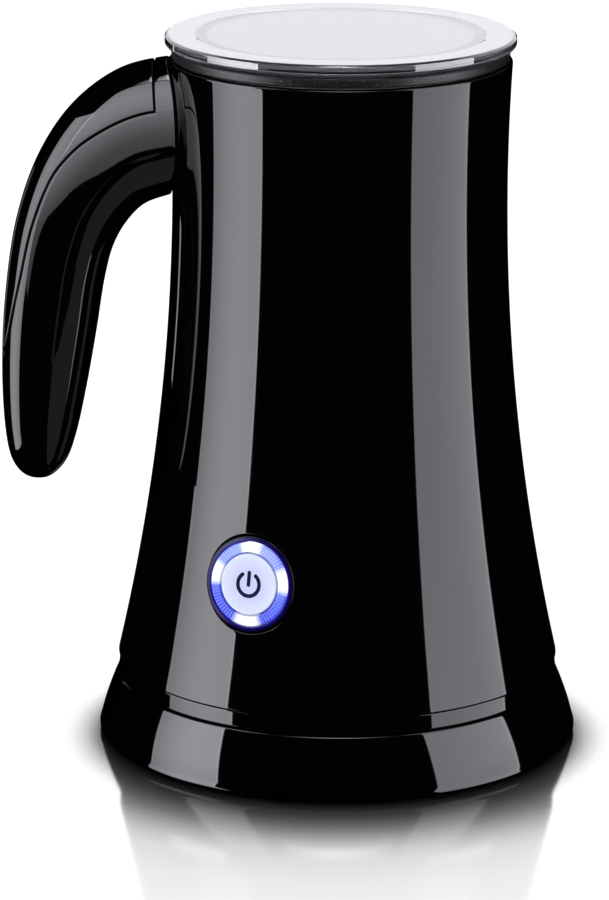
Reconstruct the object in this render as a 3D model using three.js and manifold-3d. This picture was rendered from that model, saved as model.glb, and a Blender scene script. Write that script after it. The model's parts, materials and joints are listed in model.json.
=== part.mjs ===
// Cordless milk frother: a jug that lifts off a round 360 degree power base, with a clear lid,
// a non-stick milk pot, a magnetically driven whisk, a lit push button and an open-ended handle.
//
// Millimetres, +Z up. The origin is the centre of the base plate's flat underside, on the jug's
// axis; the rubber feet stand a little below it. The handle points along -X.

import * as THREE from 'three';
import { ParametricGeometry } from 'three/addons/geometries/ParametricGeometry.js';
import { mergeVertices } from 'three/addons/utils/BufferGeometryUtils.js';
import Module from 'manifold-3d';

const wasm = await Module();
wasm.setup();

// ---------------------------------------------------------------- driving dimensions

const GAP = 0.3;                    // clearance between neighbouring pieces
const FINE = 32;                    // facets round the large turned pieces
const MEDIUM = 18;                  // facets round hand-sized pieces
const COARSE = 10;                  // facets round screws and pins

// Power base
const BASE_RADIUS = 63.5;           // widest point of the skirt, just above its rolled-in lip
const BASE_TOP = 15.3;              // deck that the jug stands on
const BASE_LIP_DROP = 0.5;          // the skirt reaches this far below the base plate
const DECK_THICKNESS = 2.6;
const PLATE_RADIUS = 61.3;
const PLATE_RECESS = 0.6;            // the plate's rim, with the feet, sits above its centre pad
const PLATE_PAD_RADIUS = 38;
const PLATE_TOP = 2.2;
const FOOT_DROP = 1.3;              // rubber feet below the base plate
const FOOT_CIRCLE = 52;
const BASE_SCREW_CIRCLE = 45;
const TOWER_RADIUS = 11;            // centre column of the cordless connector
const TOWER_TOP = 26;
const GLIDE_INNER = 38;             // nylon ring that the jug turns on
const GLIDE_OUTER = 42.5;
const GLAND_HEIGHT = 7.5;

// Jug
const BAND_BOTTOM = 15.7;           // bottom cover, seen as a narrow band above the base
const BAND_TOP = 19.9;
const BAND_RADIUS = 58.2;
const HOUSING_BOTTOM = 20.2;
const HOUSING_TOP = 179.3;
const HOUSING_WALL = 2.4;
const WAIST_RADIUS = 43.4;          // narrowest radius of the bell-shaped housing
const WAIST_HEIGHT = 148.5;
const FLARE = 14.88;                // growth of the radius over FLARE_HEIGHT below the waist
const FLARE_HEIGHT = 128.5;
const COVER_SCREW_CIRCLE = 48.5;
const BRACKET_POST_CIRCLE = 26;

// Milk pot and lid
const POT_RADIUS = 37.5;            // inside, at the mouth
const POT_FLOOR = 78;
const POT_WALL = 0.8;
const POT_RIM_RADIUS = 43.5;
const POT_RIM_BOTTOM = 179.7;
const POT_RIM_TOP = 182.4;
const LID_RADIUS = 45.2;
const LID_BOTTOM = 182.75;
const LID_TOP = 185.9;

// Motor and magnetic drive
const MOTOR_RADIUS = 13.5;
const MOTOR_BOTTOM = 36;
const MOTOR_TOP = 62;
const BRACKET_THICKNESS = 2;
const ROTOR_RADIUS = 13.2;
const ROTOR_BOTTOM = 69;
const ROTOR_TOP = 75.5;
const MAGNET_CIRCLE = 8;
const HEATER_CIRCLE = 26;
const HEATER_RADIUS = 3.1;
const HEATER_HEIGHT = 73.2;

// Whisk
const HUB_RADIUS = 12.1;
const COIL_CIRCLE = 16.3;
const COIL_RADIUS = 3.2;
const COIL_WIRE = 0.55;
const COIL_HEIGHT = 83;
const COIL_TURNS = 18;

// Push button, on the front left of the housing
const BUTTON_AZIMUTH = 25.6;        // degrees from the front (-Y) towards the handle
const BUTTON_HEIGHT = 52.4;
const BEZEL_RADIUS = 12.4;
const LIGHT_RADIUS = 10.6;
const CAP_RADIUS = 8.1;

// Handle, drawn in the X-Z plane as an outer and an inner edge
const HANDLE_HALF_WIDTH = 12.8;
const HANDLE_EDGES = [
  // outer x, outer z, inner x, inner z, share of the full half width
  [-38, 179.7, -38, 145.2, 1.0],
  [-46, 179.2, -44.5, 143.6, 1.0],
  [-57, 176.2, -50.6, 141.2, 0.99],
  [-68.5, 167.8, -55.3, 136.3, 0.97],
  [-77.5, 155, -58.6, 130.3, 0.94],
  [-83.6, 138.5, -61, 121.5, 0.9],
  [-87, 118, -63.3, 107.5, 0.85],
  [-88.2, 98, -66, 92.5, 0.8],
  [-87.6, 81, -69, 79, 0.73],
  [-86.2, 73.2, -71.2, 72.8, 0.63],
  [-84.2, 69.6, -73.7, 69.4, 0.47],
  [-81.8, 67.7, -76.2, 67.6, 0.26],
];
const HANDLE_TIP = [-79, 66.9];
const HANDLE_CAVITY = 0.78;         // inner shape of the hollow handle, as a share of the outer
const COVER_SEAM = [
  // outline of the cover's edge on the side of the handle, from the top near the root
  [-46.6, 190], [-46.8, 176], [-48, 168.6], [-49.6, 166.6], [-56.5, 164.2], [-66.2, 158.8],
  [-74.3, 149.6], [-79.2, 137], [-83, 121], [-88, 100], [-92, 88],
];
const HANDLE_SCREW_HEIGHTS = [150.5, 162];

// ---------------------------------------------------------------- materials

const paint = (color, roughness, metalness = 0) =>
  new THREE.MeshStandardMaterial({ color, roughness, metalness });
const clear = (color, opacity) =>
  new THREE.MeshStandardMaterial({ color, roughness: 0.08, transparent: true, opacity });

const GLOSS_BLACK = paint(0x08080a, 0.08);
const MATTE_BLACK = paint(0x1b1b1d, 0.6);
const NON_STICK = paint(0x26262a, 0.45, 0.3);
const CLEAR_PLASTIC = clear(0xf0f2f6, 0.45);
const LIGHT_GUIDE = paint(0x3b55ff, 0.25);
const CAP_WHITE = paint(0xdadcf8, 0.3);
const SILICONE = paint(0xd8d8d6, 0.6);
const RUBBER = paint(0x151515, 0.9);
const NYLON = paint(0xe6e2d6, 0.5);
const STEEL = paint(0xb8bbc0, 0.3, 1);
const BRASS = paint(0xc8a050, 0.35, 1);
const MAGNET = paint(0x55585c, 0.4, 1);
const BOARD = paint(0x1f6a3a, 0.5);
const RELAY_BLUE = paint(0x1d4fa0, 0.45);
const WHITE_PLASTIC = paint(0xe8e8e6, 0.5);

// ---------------------------------------------------------------- geometry helpers

const radians = THREE.MathUtils.degToRad;
const polar = (radius, degrees) =>
  [radius * Math.cos(radians(degrees)), radius * Math.sin(radians(degrees))];

// Turns a closed profile of [radius, height] points about +Z. The points run anticlockwise:
// outwards along the bottom, up the outside and back in over the top.
function revolve(profile, segments = FINE) {
  const points = profile.map(([r, z]) => new THREE.Vector2(r, z));
  if (profile[0][0] > 0) points.push(points[0].clone());
  return new THREE.LatheGeometry(points, segments).rotateX(Math.PI / 2);
}

const disc = (radius, bottom, top) => [[0, bottom], [radius, bottom], [radius, top], [0, top]];
const ring = (inner, outer, bottom, top) =>
  [[inner, bottom], [outer, bottom], [outer, top], [inner, top]];

const rod = (radius, bottom, top, sides = COARSE) => revolve(disc(radius, bottom, top), sides);
const block = (x, y, z) => new THREE.BoxGeometry(x, y, z);

// A closed geometry as a manifold-3d solid: shared vertices merged, empty triangles dropped.
function toSolid(geometry) {
  const bare = geometry.clone();
  bare.deleteAttribute('normal');
  bare.deleteAttribute('uv');
  const merged = mergeVertices(bare, 1e-4);
  const index = merged.index.array;
  const kept = [];
  for (let i = 0; i < index.length; i += 3) {
    const [a, b, c] = [index[i], index[i + 1], index[i + 2]];
    if (a !== b && b !== c && c !== a) kept.push(a, b, c);
  }
  return new wasm.Manifold(new wasm.Mesh({
    numProp: 3,
    vertProperties: Float32Array.from(merged.attributes.position.array),
    triVerts: Uint32Array.from(kept),
  }));
}

function toGeometry(solid) {
  const mesh = solid.getMesh();
  const geometry = new THREE.BufferGeometry();
  geometry.setAttribute('position', new THREE.BufferAttribute(mesh.vertProperties, 3));
  geometry.setIndex(new THREE.BufferAttribute(mesh.triVerts, 1));
  geometry.computeVertexNormals();
  return geometry;
}

// Joins the added shapes to the first one, then takes the cut shapes away.
function carve(first, { add = [], cut = [] }) {
  const joined = add.reduce((solid, shape) => solid.add(toSolid(shape)), toSolid(first));
  return toGeometry(cut.reduce((solid, shape) => solid.subtract(toSolid(shape)), joined));
}

function sweep(curve, radius, sides, steps) {
  const section = new THREE.Shape(
    Array.from({ length: sides }, (_, i) => {
      const angle = (2 * Math.PI * i) / sides;
      return new THREE.Vector2(radius * Math.cos(angle), radius * Math.sin(angle));
    }),
  );
  return new THREE.ExtrudeGeometry(section, { steps, extrudePath: curve, bevelEnabled: false });
}

// ---------------------------------------------------------------- scene graph

const frother = new THREE.Group();

function piece(parent, name, geometry, material, position = [0, 0, 0]) {
  const mesh = new THREE.Mesh(geometry, material);
  mesh.name = name;
  mesh.position.set(...position);
  parent.add(mesh);
  return mesh;
}

// Pan-head screw standing head down at the origin, shank along +Z.
const screw = (headRadius, headHeight, shankRadius, length) => revolve([
  [0, 0], [headRadius * 0.7, 0], [headRadius, headHeight * 0.5], [headRadius, headHeight],
  [shankRadius, headHeight], [shankRadius, length], [0, length],
], COARSE);

// Countersunk screw, flat head down at the origin.
const flatScrew = (headRadius, shankRadius, length) => revolve([
  [0, 0], [headRadius, 0], [shankRadius, headRadius - shankRadius], [shankRadius, length],
  [0, length],
], COARSE);

// ---------------------------------------------------------------- power base

function buildBaseCover() {
  const deckUnder = BASE_TOP - DECK_THICKNESS;
  const skirt = [
    [12.8, deckUnder], [55.4, deckUnder], [58, 8], [60, 2.7], [61.7, 2.3],
    [61.7, -BASE_LIP_DROP], [62.7, -BASE_LIP_DROP], [63.4, 0], [BASE_RADIUS, 0.5],
    [63.1, 1.8], [62.4, 4], [60.3, 10.4], [58.5, 14.7], [57.8, BASE_TOP],
    [GLIDE_OUTER + GAP, BASE_TOP], [GLIDE_OUTER + GAP, BASE_TOP - 1.5],
    [GLIDE_INNER - GAP, BASE_TOP - 1.5], [GLIDE_INNER - GAP, BASE_TOP], [12.8, BASE_TOP],
  ];
  const bosses = [];
  const pilots = [];
  for (let i = 0; i < 3; i += 1) {
    const [x, y] = polar(BASE_SCREW_CIRCLE, 30 + 120 * i);
    bosses.push(rod(4, PLATE_TOP + GAP, deckUnder + 0.5).translate(x, y, 0));
    pilots.push(rod(1.8, 0, 10.6).translate(x, y, 0));
  }
  const glandHole = rod(3.8, 50, 70).rotateX(-Math.PI / 2).translate(0, 0, GLAND_HEIGHT);
  return carve(revolve(skirt), { add: bosses, cut: [...pilots, glandHole] });
}

function buildBasePlate() {
  const footHoles = [];
  const screwHoles = [];
  for (let i = 0; i < 4; i += 1) {
    footHoles.push(rod(2.4, -1, 4).translate(...polar(FOOT_CIRCLE, 45 + 90 * i), 0));
  }
  for (let i = 0; i < 3; i += 1) {
    const [x, y] = polar(BASE_SCREW_CIRCLE, 30 + 120 * i);
    const sink = revolve([[0, -1], [4.9, -1], [1.8, 2.1], [1.8, 4], [0, 4]], COARSE);
    screwHoles.push(sink.translate(x, y, 0));
  }
  const plate = revolve([
    [0, 0], [PLATE_PAD_RADIUS, 0], [PLATE_PAD_RADIUS + PLATE_RECESS, PLATE_RECESS],
    [PLATE_RADIUS, PLATE_RECESS], [PLATE_RADIUS, PLATE_TOP], [0, PLATE_TOP],
  ]);
  return carve(plate, { cut: [...footHoles, ...screwHoles] });
}

function addBase() {
  piece(frother, 'base_cover', buildBaseCover(), GLOSS_BLACK);
  piece(frother, 'base_plate', buildBasePlate(), MATTE_BLACK);
  for (let i = 0; i < 4; i += 1) {
    const foot = revolve([
      [0, -FOOT_DROP], [5.6, -FOOT_DROP], [6, 0.4 - FOOT_DROP], [6, PLATE_RECESS - GAP],
      [2.1, PLATE_RECESS - GAP], [2.1, PLATE_TOP + GAP], [3, PLATE_TOP + GAP], [1.8, 4.4],
      [0, 4.4],
    ], COARSE);
    piece(frother, `foot_${i + 1}`, foot, RUBBER, [...polar(FOOT_CIRCLE, 45 + 90 * i), 0]);
  }
  for (let i = 0; i < 3; i += 1) {
    const [x, y] = polar(BASE_SCREW_CIRCLE, 30 + 120 * i);
    piece(frother, `base_screw_${i + 1}`, flatScrew(2.9, 1.5, 9.5), STEEL, [x, y, 0.7]);
  }
}

// Cordless connector: a plastic column with an earth ring round it and a live contact inside.
function addBaseConnector() {
  const flangeTop = BASE_TOP - DECK_THICKNESS - GAP;
  const tower = [
    [0, 9], [18, 9], [18, flangeTop], [TOWER_RADIUS, flangeTop], [TOWER_RADIUS, TOWER_TOP - 1],
    [TOWER_RADIUS - 1, TOWER_TOP], [2.3, TOWER_TOP], [2.3, 14], [0, 14],
  ];
  piece(frother, 'connector_tower', revolve(tower, MEDIUM), MATTE_BLACK);
  const earth = ring(TOWER_RADIUS + GAP, TOWER_RADIUS + 1.2, 13.2, 21);
  piece(frother, 'tower_earth_ring', revolve(earth, MEDIUM), BRASS);
  piece(frother, 'tower_centre_contact', rod(1.9, 14.3, 19.2), BRASS);
}

// Inlet for the mains lead at the back: a flanged rubber sleeve through the skirt.
function addCordGland() {
  const sleeve = revolve([
    [1.8, 53], [4.8, 53], [4.8, 54.6], [3.5, 55], [3.5, 63], [2.9, 64], [1.8, 64],
  ], COARSE).rotateX(-Math.PI / 2);
  piece(frother, 'cord_gland', sleeve, RUBBER, [0, 0, GLAND_HEIGHT]);
}

function addGlideRing() {
  const section = ring(GLIDE_INNER, GLIDE_OUTER, BASE_TOP - 1.2, BASE_TOP + 0.3);
  piece(frother, 'glide_ring', revolve(section), NYLON);
}

// ---------------------------------------------------------------- jug housing

const housingRadius = (z) => WAIST_RADIUS + FLARE * ((z - WAIST_HEIGHT) / FLARE_HEIGHT) ** 2;

// Points of the bell curve from one height to another, offset sideways.
function bellCurve(from, to, steps, offset = 0) {
  return Array.from({ length: steps + 1 }, (_, i) => {
    const z = from + ((to - from) * i) / steps;
    return [housingRadius(z) + offset, z];
  });
}

// The button's frame: +Z out of the housing, +Y upwards along it.
const buttonFrame = new THREE.Matrix4();
{
  const azimuth = radians(BUTTON_AZIMUTH);
  const slope = (2 * FLARE * (BUTTON_HEIGHT - WAIST_HEIGHT)) / FLARE_HEIGHT ** 2;
  const out = new THREE.Vector3(-Math.sin(azimuth), -Math.cos(azimuth), -slope).normalize();
  const side = new THREE.Vector3(0, 0, 1).cross(out).normalize();
  const up = out.clone().cross(side);
  const reach = housingRadius(BUTTON_HEIGHT);
  buttonFrame.makeBasis(side, up, out).setPosition(
    -reach * Math.sin(azimuth), -reach * Math.cos(azimuth), BUTTON_HEIGHT,
  );
}

function buildHousing() {
  const ledge = HOUSING_TOP - 2.3;
  const shell = [
    ...bellCurve(HOUSING_BOTTOM, HOUSING_TOP - 0.6, 7),
    [housingRadius(HOUSING_TOP) - 0.6, HOUSING_TOP], [41.9, HOUSING_TOP], [41.9, ledge],
    [39.1, ledge], [39.1, ledge - 1.6], [41.4, ledge - 3.6],
    ...bellCurve(ledge - 6, HOUSING_BOTTOM, 5, -HOUSING_WALL),
  ];
  const bosses = [];
  const holes = [];
  for (let i = 0; i < 3; i += 1) {
    const [x, y] = polar(COVER_SCREW_CIRCLE, 60 + 120 * i);
    bosses.push(rod(3.6, HOUSING_BOTTOM + 0.4, 46).translate(x, y, 0));
    holes.push(rod(1.8, 15, 33).translate(x, y, 0));
  }
  for (const z of HANDLE_SCREW_HEIGHTS) {
    holes.push(rod(2, 36, 60).rotateY(-Math.PI / 2).translate(0, 0, z));
  }
  holes.push(rod(BEZEL_RADIUS + GAP, -9, 9, MEDIUM).applyMatrix4(buttonFrame));
  return carve(revolve(shell), { add: bosses, cut: holes });
}

function buildBottomCover() {
  const floorTop = 18.2;
  const floorUnder = 16;
  const cover = [
    [15.6, floorUnder], [54.5, floorUnder], [55, BAND_BOTTOM], [BAND_RADIUS - 0.3, BAND_BOTTOM],
    [BAND_RADIUS, BAND_BOTTOM + 0.3], [BAND_RADIUS, BAND_TOP - 0.3],
    [BAND_RADIUS - 0.3, BAND_TOP], [55.2, BAND_TOP], [54.6, 24.5], [53, 24.5],
    [53, floorTop], [17.7, floorTop], [17.7, TOWER_TOP], [15.6, TOWER_TOP],
  ];
  const joined = [];
  const holes = [];
  for (const degrees of [100, 280]) {
    const [x, y] = polar(BRACKET_POST_CIRCLE, degrees);
    joined.push(rod(3.6, floorTop - 0.5, MOTOR_TOP + 0.1).translate(x, y, 0));
    holes.push(rod(1.6, MOTOR_TOP - 9, MOTOR_TOP + 2).translate(x, y, 0));
  }
  for (let i = 0; i < 3; i += 1) {
    const [x, y] = polar(COVER_SCREW_CIRCLE, 60 + 120 * i);
    const sink = revolve([[0, 15], [4.5, 15], [1.8, 17.7], [1.8, 20], [0, 20]], COARSE);
    holes.push(sink.translate(x, y, 0));
  }
  for (const side of [-1, 1]) {
    for (const x of [31.6, 36]) {
      joined.push(block(2, 6, 8).translate(x, side * 15, floorTop + 3.5));
    }
  }
  return carve(revolve(cover), { add: joined, cut: holes });
}

function addJugShell() {
  piece(frother, 'jug_housing', buildHousing(), GLOSS_BLACK);
  piece(frother, 'jug_bottom_cover', buildBottomCover(), GLOSS_BLACK);
  for (let i = 0; i < 3; i += 1) {
    const [x, y] = polar(COVER_SCREW_CIRCLE, 60 + 120 * i);
    piece(frother, `cover_screw_${i + 1}`, flatScrew(2.9, 1.5, 15), STEEL, [x, y, 16.15]);
  }
}

// Socket that drops over the base's column, with its own pin and ring contact.
function addJugSocket() {
  const socket = [
    [13.2, 16.3], [15.3, 16.3], [15.3, TOWER_TOP + GAP], [21, TOWER_TOP + GAP],
    [21, 28.3], [15.3, 28.3], [15.3, 31], [1.8, 31], [1.8, 28.8], [13.2, 28.8],
  ];
  piece(frother, 'jug_socket', revolve(socket, MEDIUM), MATTE_BLACK);
  const pin = [[0, 19.6], [1.2, 19.6], [1.5, 20.2], [1.5, 31.3], [3, 31.3], [3, 32.6], [0, 32.6]];
  piece(frother, 'socket_pin', revolve(pin, COARSE), BRASS);
  piece(frother, 'socket_ring', revolve(ring(12.4, 12.9, 20, 27), MEDIUM), BRASS);
}

// ---------------------------------------------------------------- milk pot and heating

function addPot() {
  const pot = [
    [0, POT_FLOOR - POT_WALL - 0.4], [34.4, POT_FLOOR - POT_WALL - 0.4], [36.4, POT_FLOOR + 0.6],
    [37, POT_FLOOR + 3], [POT_RADIUS + POT_WALL, 174], [POT_RADIUS + POT_WALL, POT_RIM_BOTTOM],
    [POT_RIM_RADIUS - 0.4, POT_RIM_BOTTOM], [POT_RIM_RADIUS, POT_RIM_BOTTOM + 0.4],
    [POT_RIM_RADIUS, POT_RIM_TOP - 0.4], [POT_RIM_RADIUS - 0.4, POT_RIM_TOP],
    [POT_RADIUS + 0.8, POT_RIM_TOP], [POT_RADIUS, POT_RIM_TOP - 0.8], [POT_RADIUS, 174],
    [36.2, POT_FLOOR + 3.2], [35.4, POT_FLOOR + 1], [33.6, POT_FLOOR], [0, POT_FLOOR],
  ];
  piece(frother, 'milk_pot', revolve(pot), NON_STICK);
  const ledge = HOUSING_TOP - 2.3;
  piece(frother, 'pot_gasket', revolve(ring(39.4, 41.5, ledge + GAP, 179.4)), SILICONE);
  const spindle = [
    [0, POT_FLOOR + GAP], [4, POT_FLOOR + GAP], [4, POT_FLOOR + 0.9], [1.6, POT_FLOOR + 1.4],
    [1.6, 91], [1, 92], [0, 92],
  ];
  piece(frother, 'whisk_spindle', revolve(spindle, COARSE), STEEL);
}

class Arc extends THREE.Curve {
  constructor(radius, height, startDegrees, sweepDegrees) {
    super();
    Object.assign(this, { radius, height, startDegrees, sweepDegrees });
  }

  getPoint(t, target = new THREE.Vector3()) {
    const [x, y] = polar(this.radius, this.startDegrees + this.sweepDegrees * t);
    return target.set(x, y, this.height);
  }
}

// Tubular element clamped under the pot, with a bimetal thermostat in its open stretch.
function addHeating() {
  const loop = new Arc(HEATER_CIRCLE, HEATER_HEIGHT, 120, 300);
  piece(frother, 'heating_element', sweep(loop, HEATER_RADIUS, 8, 28), STEEL);
  const thermostat = [[0, 66.5], [6.6, 66.5], [6.6, 72.4], [7.6, 72.8], [7.6, 76.3], [0, 76.3]];
  piece(frother, 'thermostat', revolve(thermostat, MEDIUM), STEEL, [0, HEATER_CIRCLE, 0]);
  const fuse = revolve([
    [0, -12], [0.5, -12], [0.5, -6], [1.9, -5.6], [1.9, 5.6], [0.5, 6], [0.5, 12], [0, 12],
  ], COARSE).rotateX(Math.PI / 2);
  piece(frother, 'thermal_fuse', fuse, WHITE_PLASTIC, [18.2, 0, 74.1]);
}

// ---------------------------------------------------------------- motor and drive

function addMotor() {
  const can = [
    [0, MOTOR_BOTTOM], [12.8, MOTOR_BOTTOM], [MOTOR_RADIUS, MOTOR_BOTTOM + 0.8],
    [MOTOR_RADIUS, MOTOR_TOP], [4, MOTOR_TOP], [4, MOTOR_TOP + 1.6], [1.5, MOTOR_TOP + 1.6],
    [1.5, 54], [0, 54],
  ];
  const threads = [-1, 1].map((side) => rod(1.6, 56, 70).translate(side * 8, 0, 0));
  const canShape = carve(revolve(can, MEDIUM), { cut: threads });
  piece(frother, 'motor_can', canShape, STEEL);

  const bottom = MOTOR_TOP + GAP + 0.1;
  const posts = [100, 280].map((degrees) => polar(BRACKET_POST_CIRCLE, degrees));
  const holes = [rod(4.4, 60, 70, MEDIUM)];
  for (const [x, y] of [...posts, [-8, 0], [8, 0]]) {
    holes.push(rod(1.7, 60, 70).translate(x, y, 0));
  }
  const plate = revolve(disc(31, bottom, bottom + BRACKET_THICKNESS));
  piece(frother, 'motor_bracket', carve(plate, { cut: holes }), STEEL);

  const headUnder = bottom + BRACKET_THICKNESS + GAP;
  const hangingScrew = (length) => screw(2.6, 1.4, 1.3, length).rotateX(Math.PI);
  posts.forEach(([x, y], i) => {
    piece(frother, `bracket_screw_${i + 1}`, hangingScrew(9.5), STEEL, [x, y, headUnder + 1.4]);
  });
  [-1, 1].forEach((side, i) => {
    const name = `motor_screw_${i + 1}`;
    piece(frother, name, hangingScrew(8), STEEL, [side * 8, 0, headUnder + 1.4]);
  });
}

// Rotor under the pot: its two magnets turn the whisk through the pot floor.
function addDriveRotor() {
  piece(frother, 'motor_shaft', rod(1.15, 54.4, 73), STEEL);
  const bore = rod(1.45, ROTOR_BOTTOM - 1, 73.4);
  const pockets = [-1, 1].map((side) =>
    rod(3.3, ROTOR_TOP - 4.3, ROTOR_TOP + 1, MEDIUM).translate(side * MAGNET_CIRCLE, 0, 0));
  const carrier = revolve([
    [0, ROTOR_BOTTOM], [ROTOR_RADIUS - 1, ROTOR_BOTTOM], [ROTOR_RADIUS, ROTOR_BOTTOM + 1],
    [ROTOR_RADIUS, ROTOR_TOP], [0, ROTOR_TOP],
  ], MEDIUM);
  piece(frother, 'magnet_carrier', carve(carrier, { cut: [bore, ...pockets] }), WHITE_PLASTIC);
  [-1, 1].forEach((side, i) => {
    const magnet = rod(3, ROTOR_TOP - 4, ROTOR_TOP - 0.2, MEDIUM);
    piece(frother, `drive_magnet_${i + 1}`, magnet, MAGNET, [side * MAGNET_CIRCLE, 0, 0]);
  });
}

// ---------------------------------------------------------------- whisk

class CoilRing extends THREE.Curve {
  getPoint(t, target = new THREE.Vector3()) {
    const endGap = 0.02;
    const around = 360 * (endGap + (1 - 2 * endGap) * t);
    const turn = 2 * Math.PI * COIL_TURNS * t;
    const [x, y] = polar(COIL_CIRCLE - COIL_RADIUS * Math.cos(turn), around);
    return target.set(x, y, COIL_HEIGHT + COIL_RADIUS * Math.sin(turn));
  }
}

// The whisk drops over the spindle: a hub with two magnets and a spring coil round its edge.
function addWhisk() {
  const hub = revolve([
    [0, 93.2], [2, 93.2], [2, 79.9], [10.6, 79.9], [HUB_RADIUS - 0.8, 82.5], [HUB_RADIUS, 85],
    [HUB_RADIUS, 86], [6, 87.2], [3.8, 89], [3.8, 95], [4.8, 96], [4.8, 98.4], [4, 99.2],
    [0, 99.2],
  ], 24);
  const pockets = [-1, 1].map((side) =>
    rod(2.6, 79, 83.6).translate(0, side * 6.6, 0));
  piece(frother, 'whisk_hub', carve(hub, { cut: pockets }), MATTE_BLACK);
  [-1, 1].forEach((side, i) => {
    piece(frother, `whisk_magnet_${i + 1}`, rod(2.3, 80.2, 83.3), MAGNET, [0, side * 6.6, 0]);
  });
  const coil = sweep(new CoilRing(), COIL_WIRE, 5, COIL_TURNS * 6);
  piece(frother, 'whisk_coil', coil, STEEL);
}

// ---------------------------------------------------------------- lid

function addLid() {
  const lid = [
    [0, 183.1], [34.4, 183.1], [34.4, 176.2], [36.4, 176.2], [36.4, 178], [35.6, 178],
    [35.6, 180.4], [36.4, 180.4], [36.6, LID_BOTTOM], [43.4, LID_BOTTOM], [44, 183.1],
    [LID_RADIUS, LID_TOP - 0.5], [LID_RADIUS - 0.4, LID_TOP], [37.8, LID_TOP],
    [37.2, LID_TOP - 0.8], [0, LID_TOP - 0.8],
  ];
  piece(frother, 'lid', revolve(lid), CLEAR_PLASTIC);
  piece(frother, 'lid_seal', revolve(ring(35.9, 37.15, 178.3, 180.1)), SILICONE);
}

// ---------------------------------------------------------------- button and electronics

function addButton() {
  const button = new THREE.Group();
  button.applyMatrix4(buttonFrame);
  frother.add(button);
  const bezel = [
    [LIGHT_RADIUS + GAP, -5], [BEZEL_RADIUS, -5], [BEZEL_RADIUS, 0.6], [BEZEL_RADIUS - 0.5, 1],
    [LIGHT_RADIUS + GAP, 0.4],
  ];
  piece(button, 'button_bezel', revolve(bezel), MATTE_BLACK);
  const light = ring(CAP_RADIUS + GAP, LIGHT_RADIUS, -5, 0.3);
  piece(button, 'button_light_ring', revolve(light), LIGHT_GUIDE);
  const cap = [
    [0, -7], [2, -7], [2, -2], [CAP_RADIUS, -2], [CAP_RADIUS, 0.2], [CAP_RADIUS - 0.4, 0.6],
    [0, 0.6],
  ];
  piece(button, 'button_cap', revolve(cap, MEDIUM), CAP_WHITE);
  piece(button, 'button_holder', revolve(ring(10.4, 12.2, -13.6, -5.3), MEDIUM), MATTE_BLACK);
  piece(button, 'button_board', revolve(disc(10, -13.4, -11.8), MEDIUM), BOARD);
  piece(button, 'tact_switch', block(6, 6, 3.4), MATTE_BLACK, [0, 0, -9.8]);
}

function addElectronics() {
  piece(frother, 'main_board', block(1.6, 36, 40), BOARD, [33.8, 0, 38.8]);
  piece(frother, 'power_relay', block(12, 15, 11), RELAY_BLUE, [26.7, 3, 50]);
  const capacitor = rod(4.2, -6, 6).rotateY(Math.PI / 2);
  piece(frother, 'filter_capacitor', capacitor, MATTE_BLACK, [26.7, -12, 33]);
}

// ---------------------------------------------------------------- handle

const spline = (points) =>
  new THREE.CatmullRomCurve3(points.map(([x, z]) => new THREE.Vector3(x, 0, z)));
const outerEdge = spline([...HANDLE_EDGES.map((row) => row.slice(0, 2)), HANDLE_TIP]);
const innerEdge = spline([...HANDLE_EDGES.map((row) => row.slice(2, 4)), HANDLE_TIP]);

function handleShare(t) {
  const shares = [...HANDLE_EDGES.map((row) => row[4]), 0];
  const place = t * (shares.length - 1);
  const i = Math.min(Math.floor(place), shares.length - 2);
  return THREE.MathUtils.lerp(shares[i], shares[i + 1], place - i);
}

// Closed loft between the two edges. Each section is a soft-cornered oval, and the first stack
// closes the flat root.
function handleBlank(scale, from, to, sides, stacks) {
  const softness = 2 / 2.5;
  const soften = (value) => Math.sign(value) * Math.abs(value) ** softness;
  const section = (u, v, target) => {
    const step = v * (stacks + 2) - 1;
    const t = from + (to - from) * THREE.MathUtils.clamp(step / stacks, 0, 1);
    const size = step < -0.5 || step > stacks + 0.5 ? 0 : scale;
    const outer = outerEdge.getPoint(t);
    const inner = innerEdge.getPoint(t);
    const middle = outer.clone().add(inner).multiplyScalar(0.5);
    const across = outer.sub(inner).multiplyScalar(0.5 * size * soften(Math.cos(u * 2 * Math.PI)));
    const width = HANDLE_HALF_WIDTH * handleShare(t) * size;
    target.copy(middle).add(across);
    target.y += width * soften(Math.sin(u * 2 * Math.PI));
  };
  return new ParametricGeometry(section, sides, stacks + 2);
}

// Everything on the cover's side of the seam, moved off the seam by the given gap.
function coverRegion(gap) {
  const seam = new THREE.CatmullRomCurve3(COVER_SEAM.map(([x, z]) => new THREE.Vector3(x, z, 0)));
  const edge = seam.getPoints(20).map((point, i) => {
    const along = seam.getTangent(i / 20);
    return new THREE.Vector2(point.x + gap * along.y, point.y - gap * along.x);
  });
  const outline = new THREE.Shape([...edge, new THREE.Vector2(-110, 88), new THREE.Vector2(-110, 190)]);
  return new THREE.ExtrudeGeometry(outline, { depth: 60, bevelEnabled: false })
    .rotateX(Math.PI / 2).translate(0, 30, 0);
}

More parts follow.
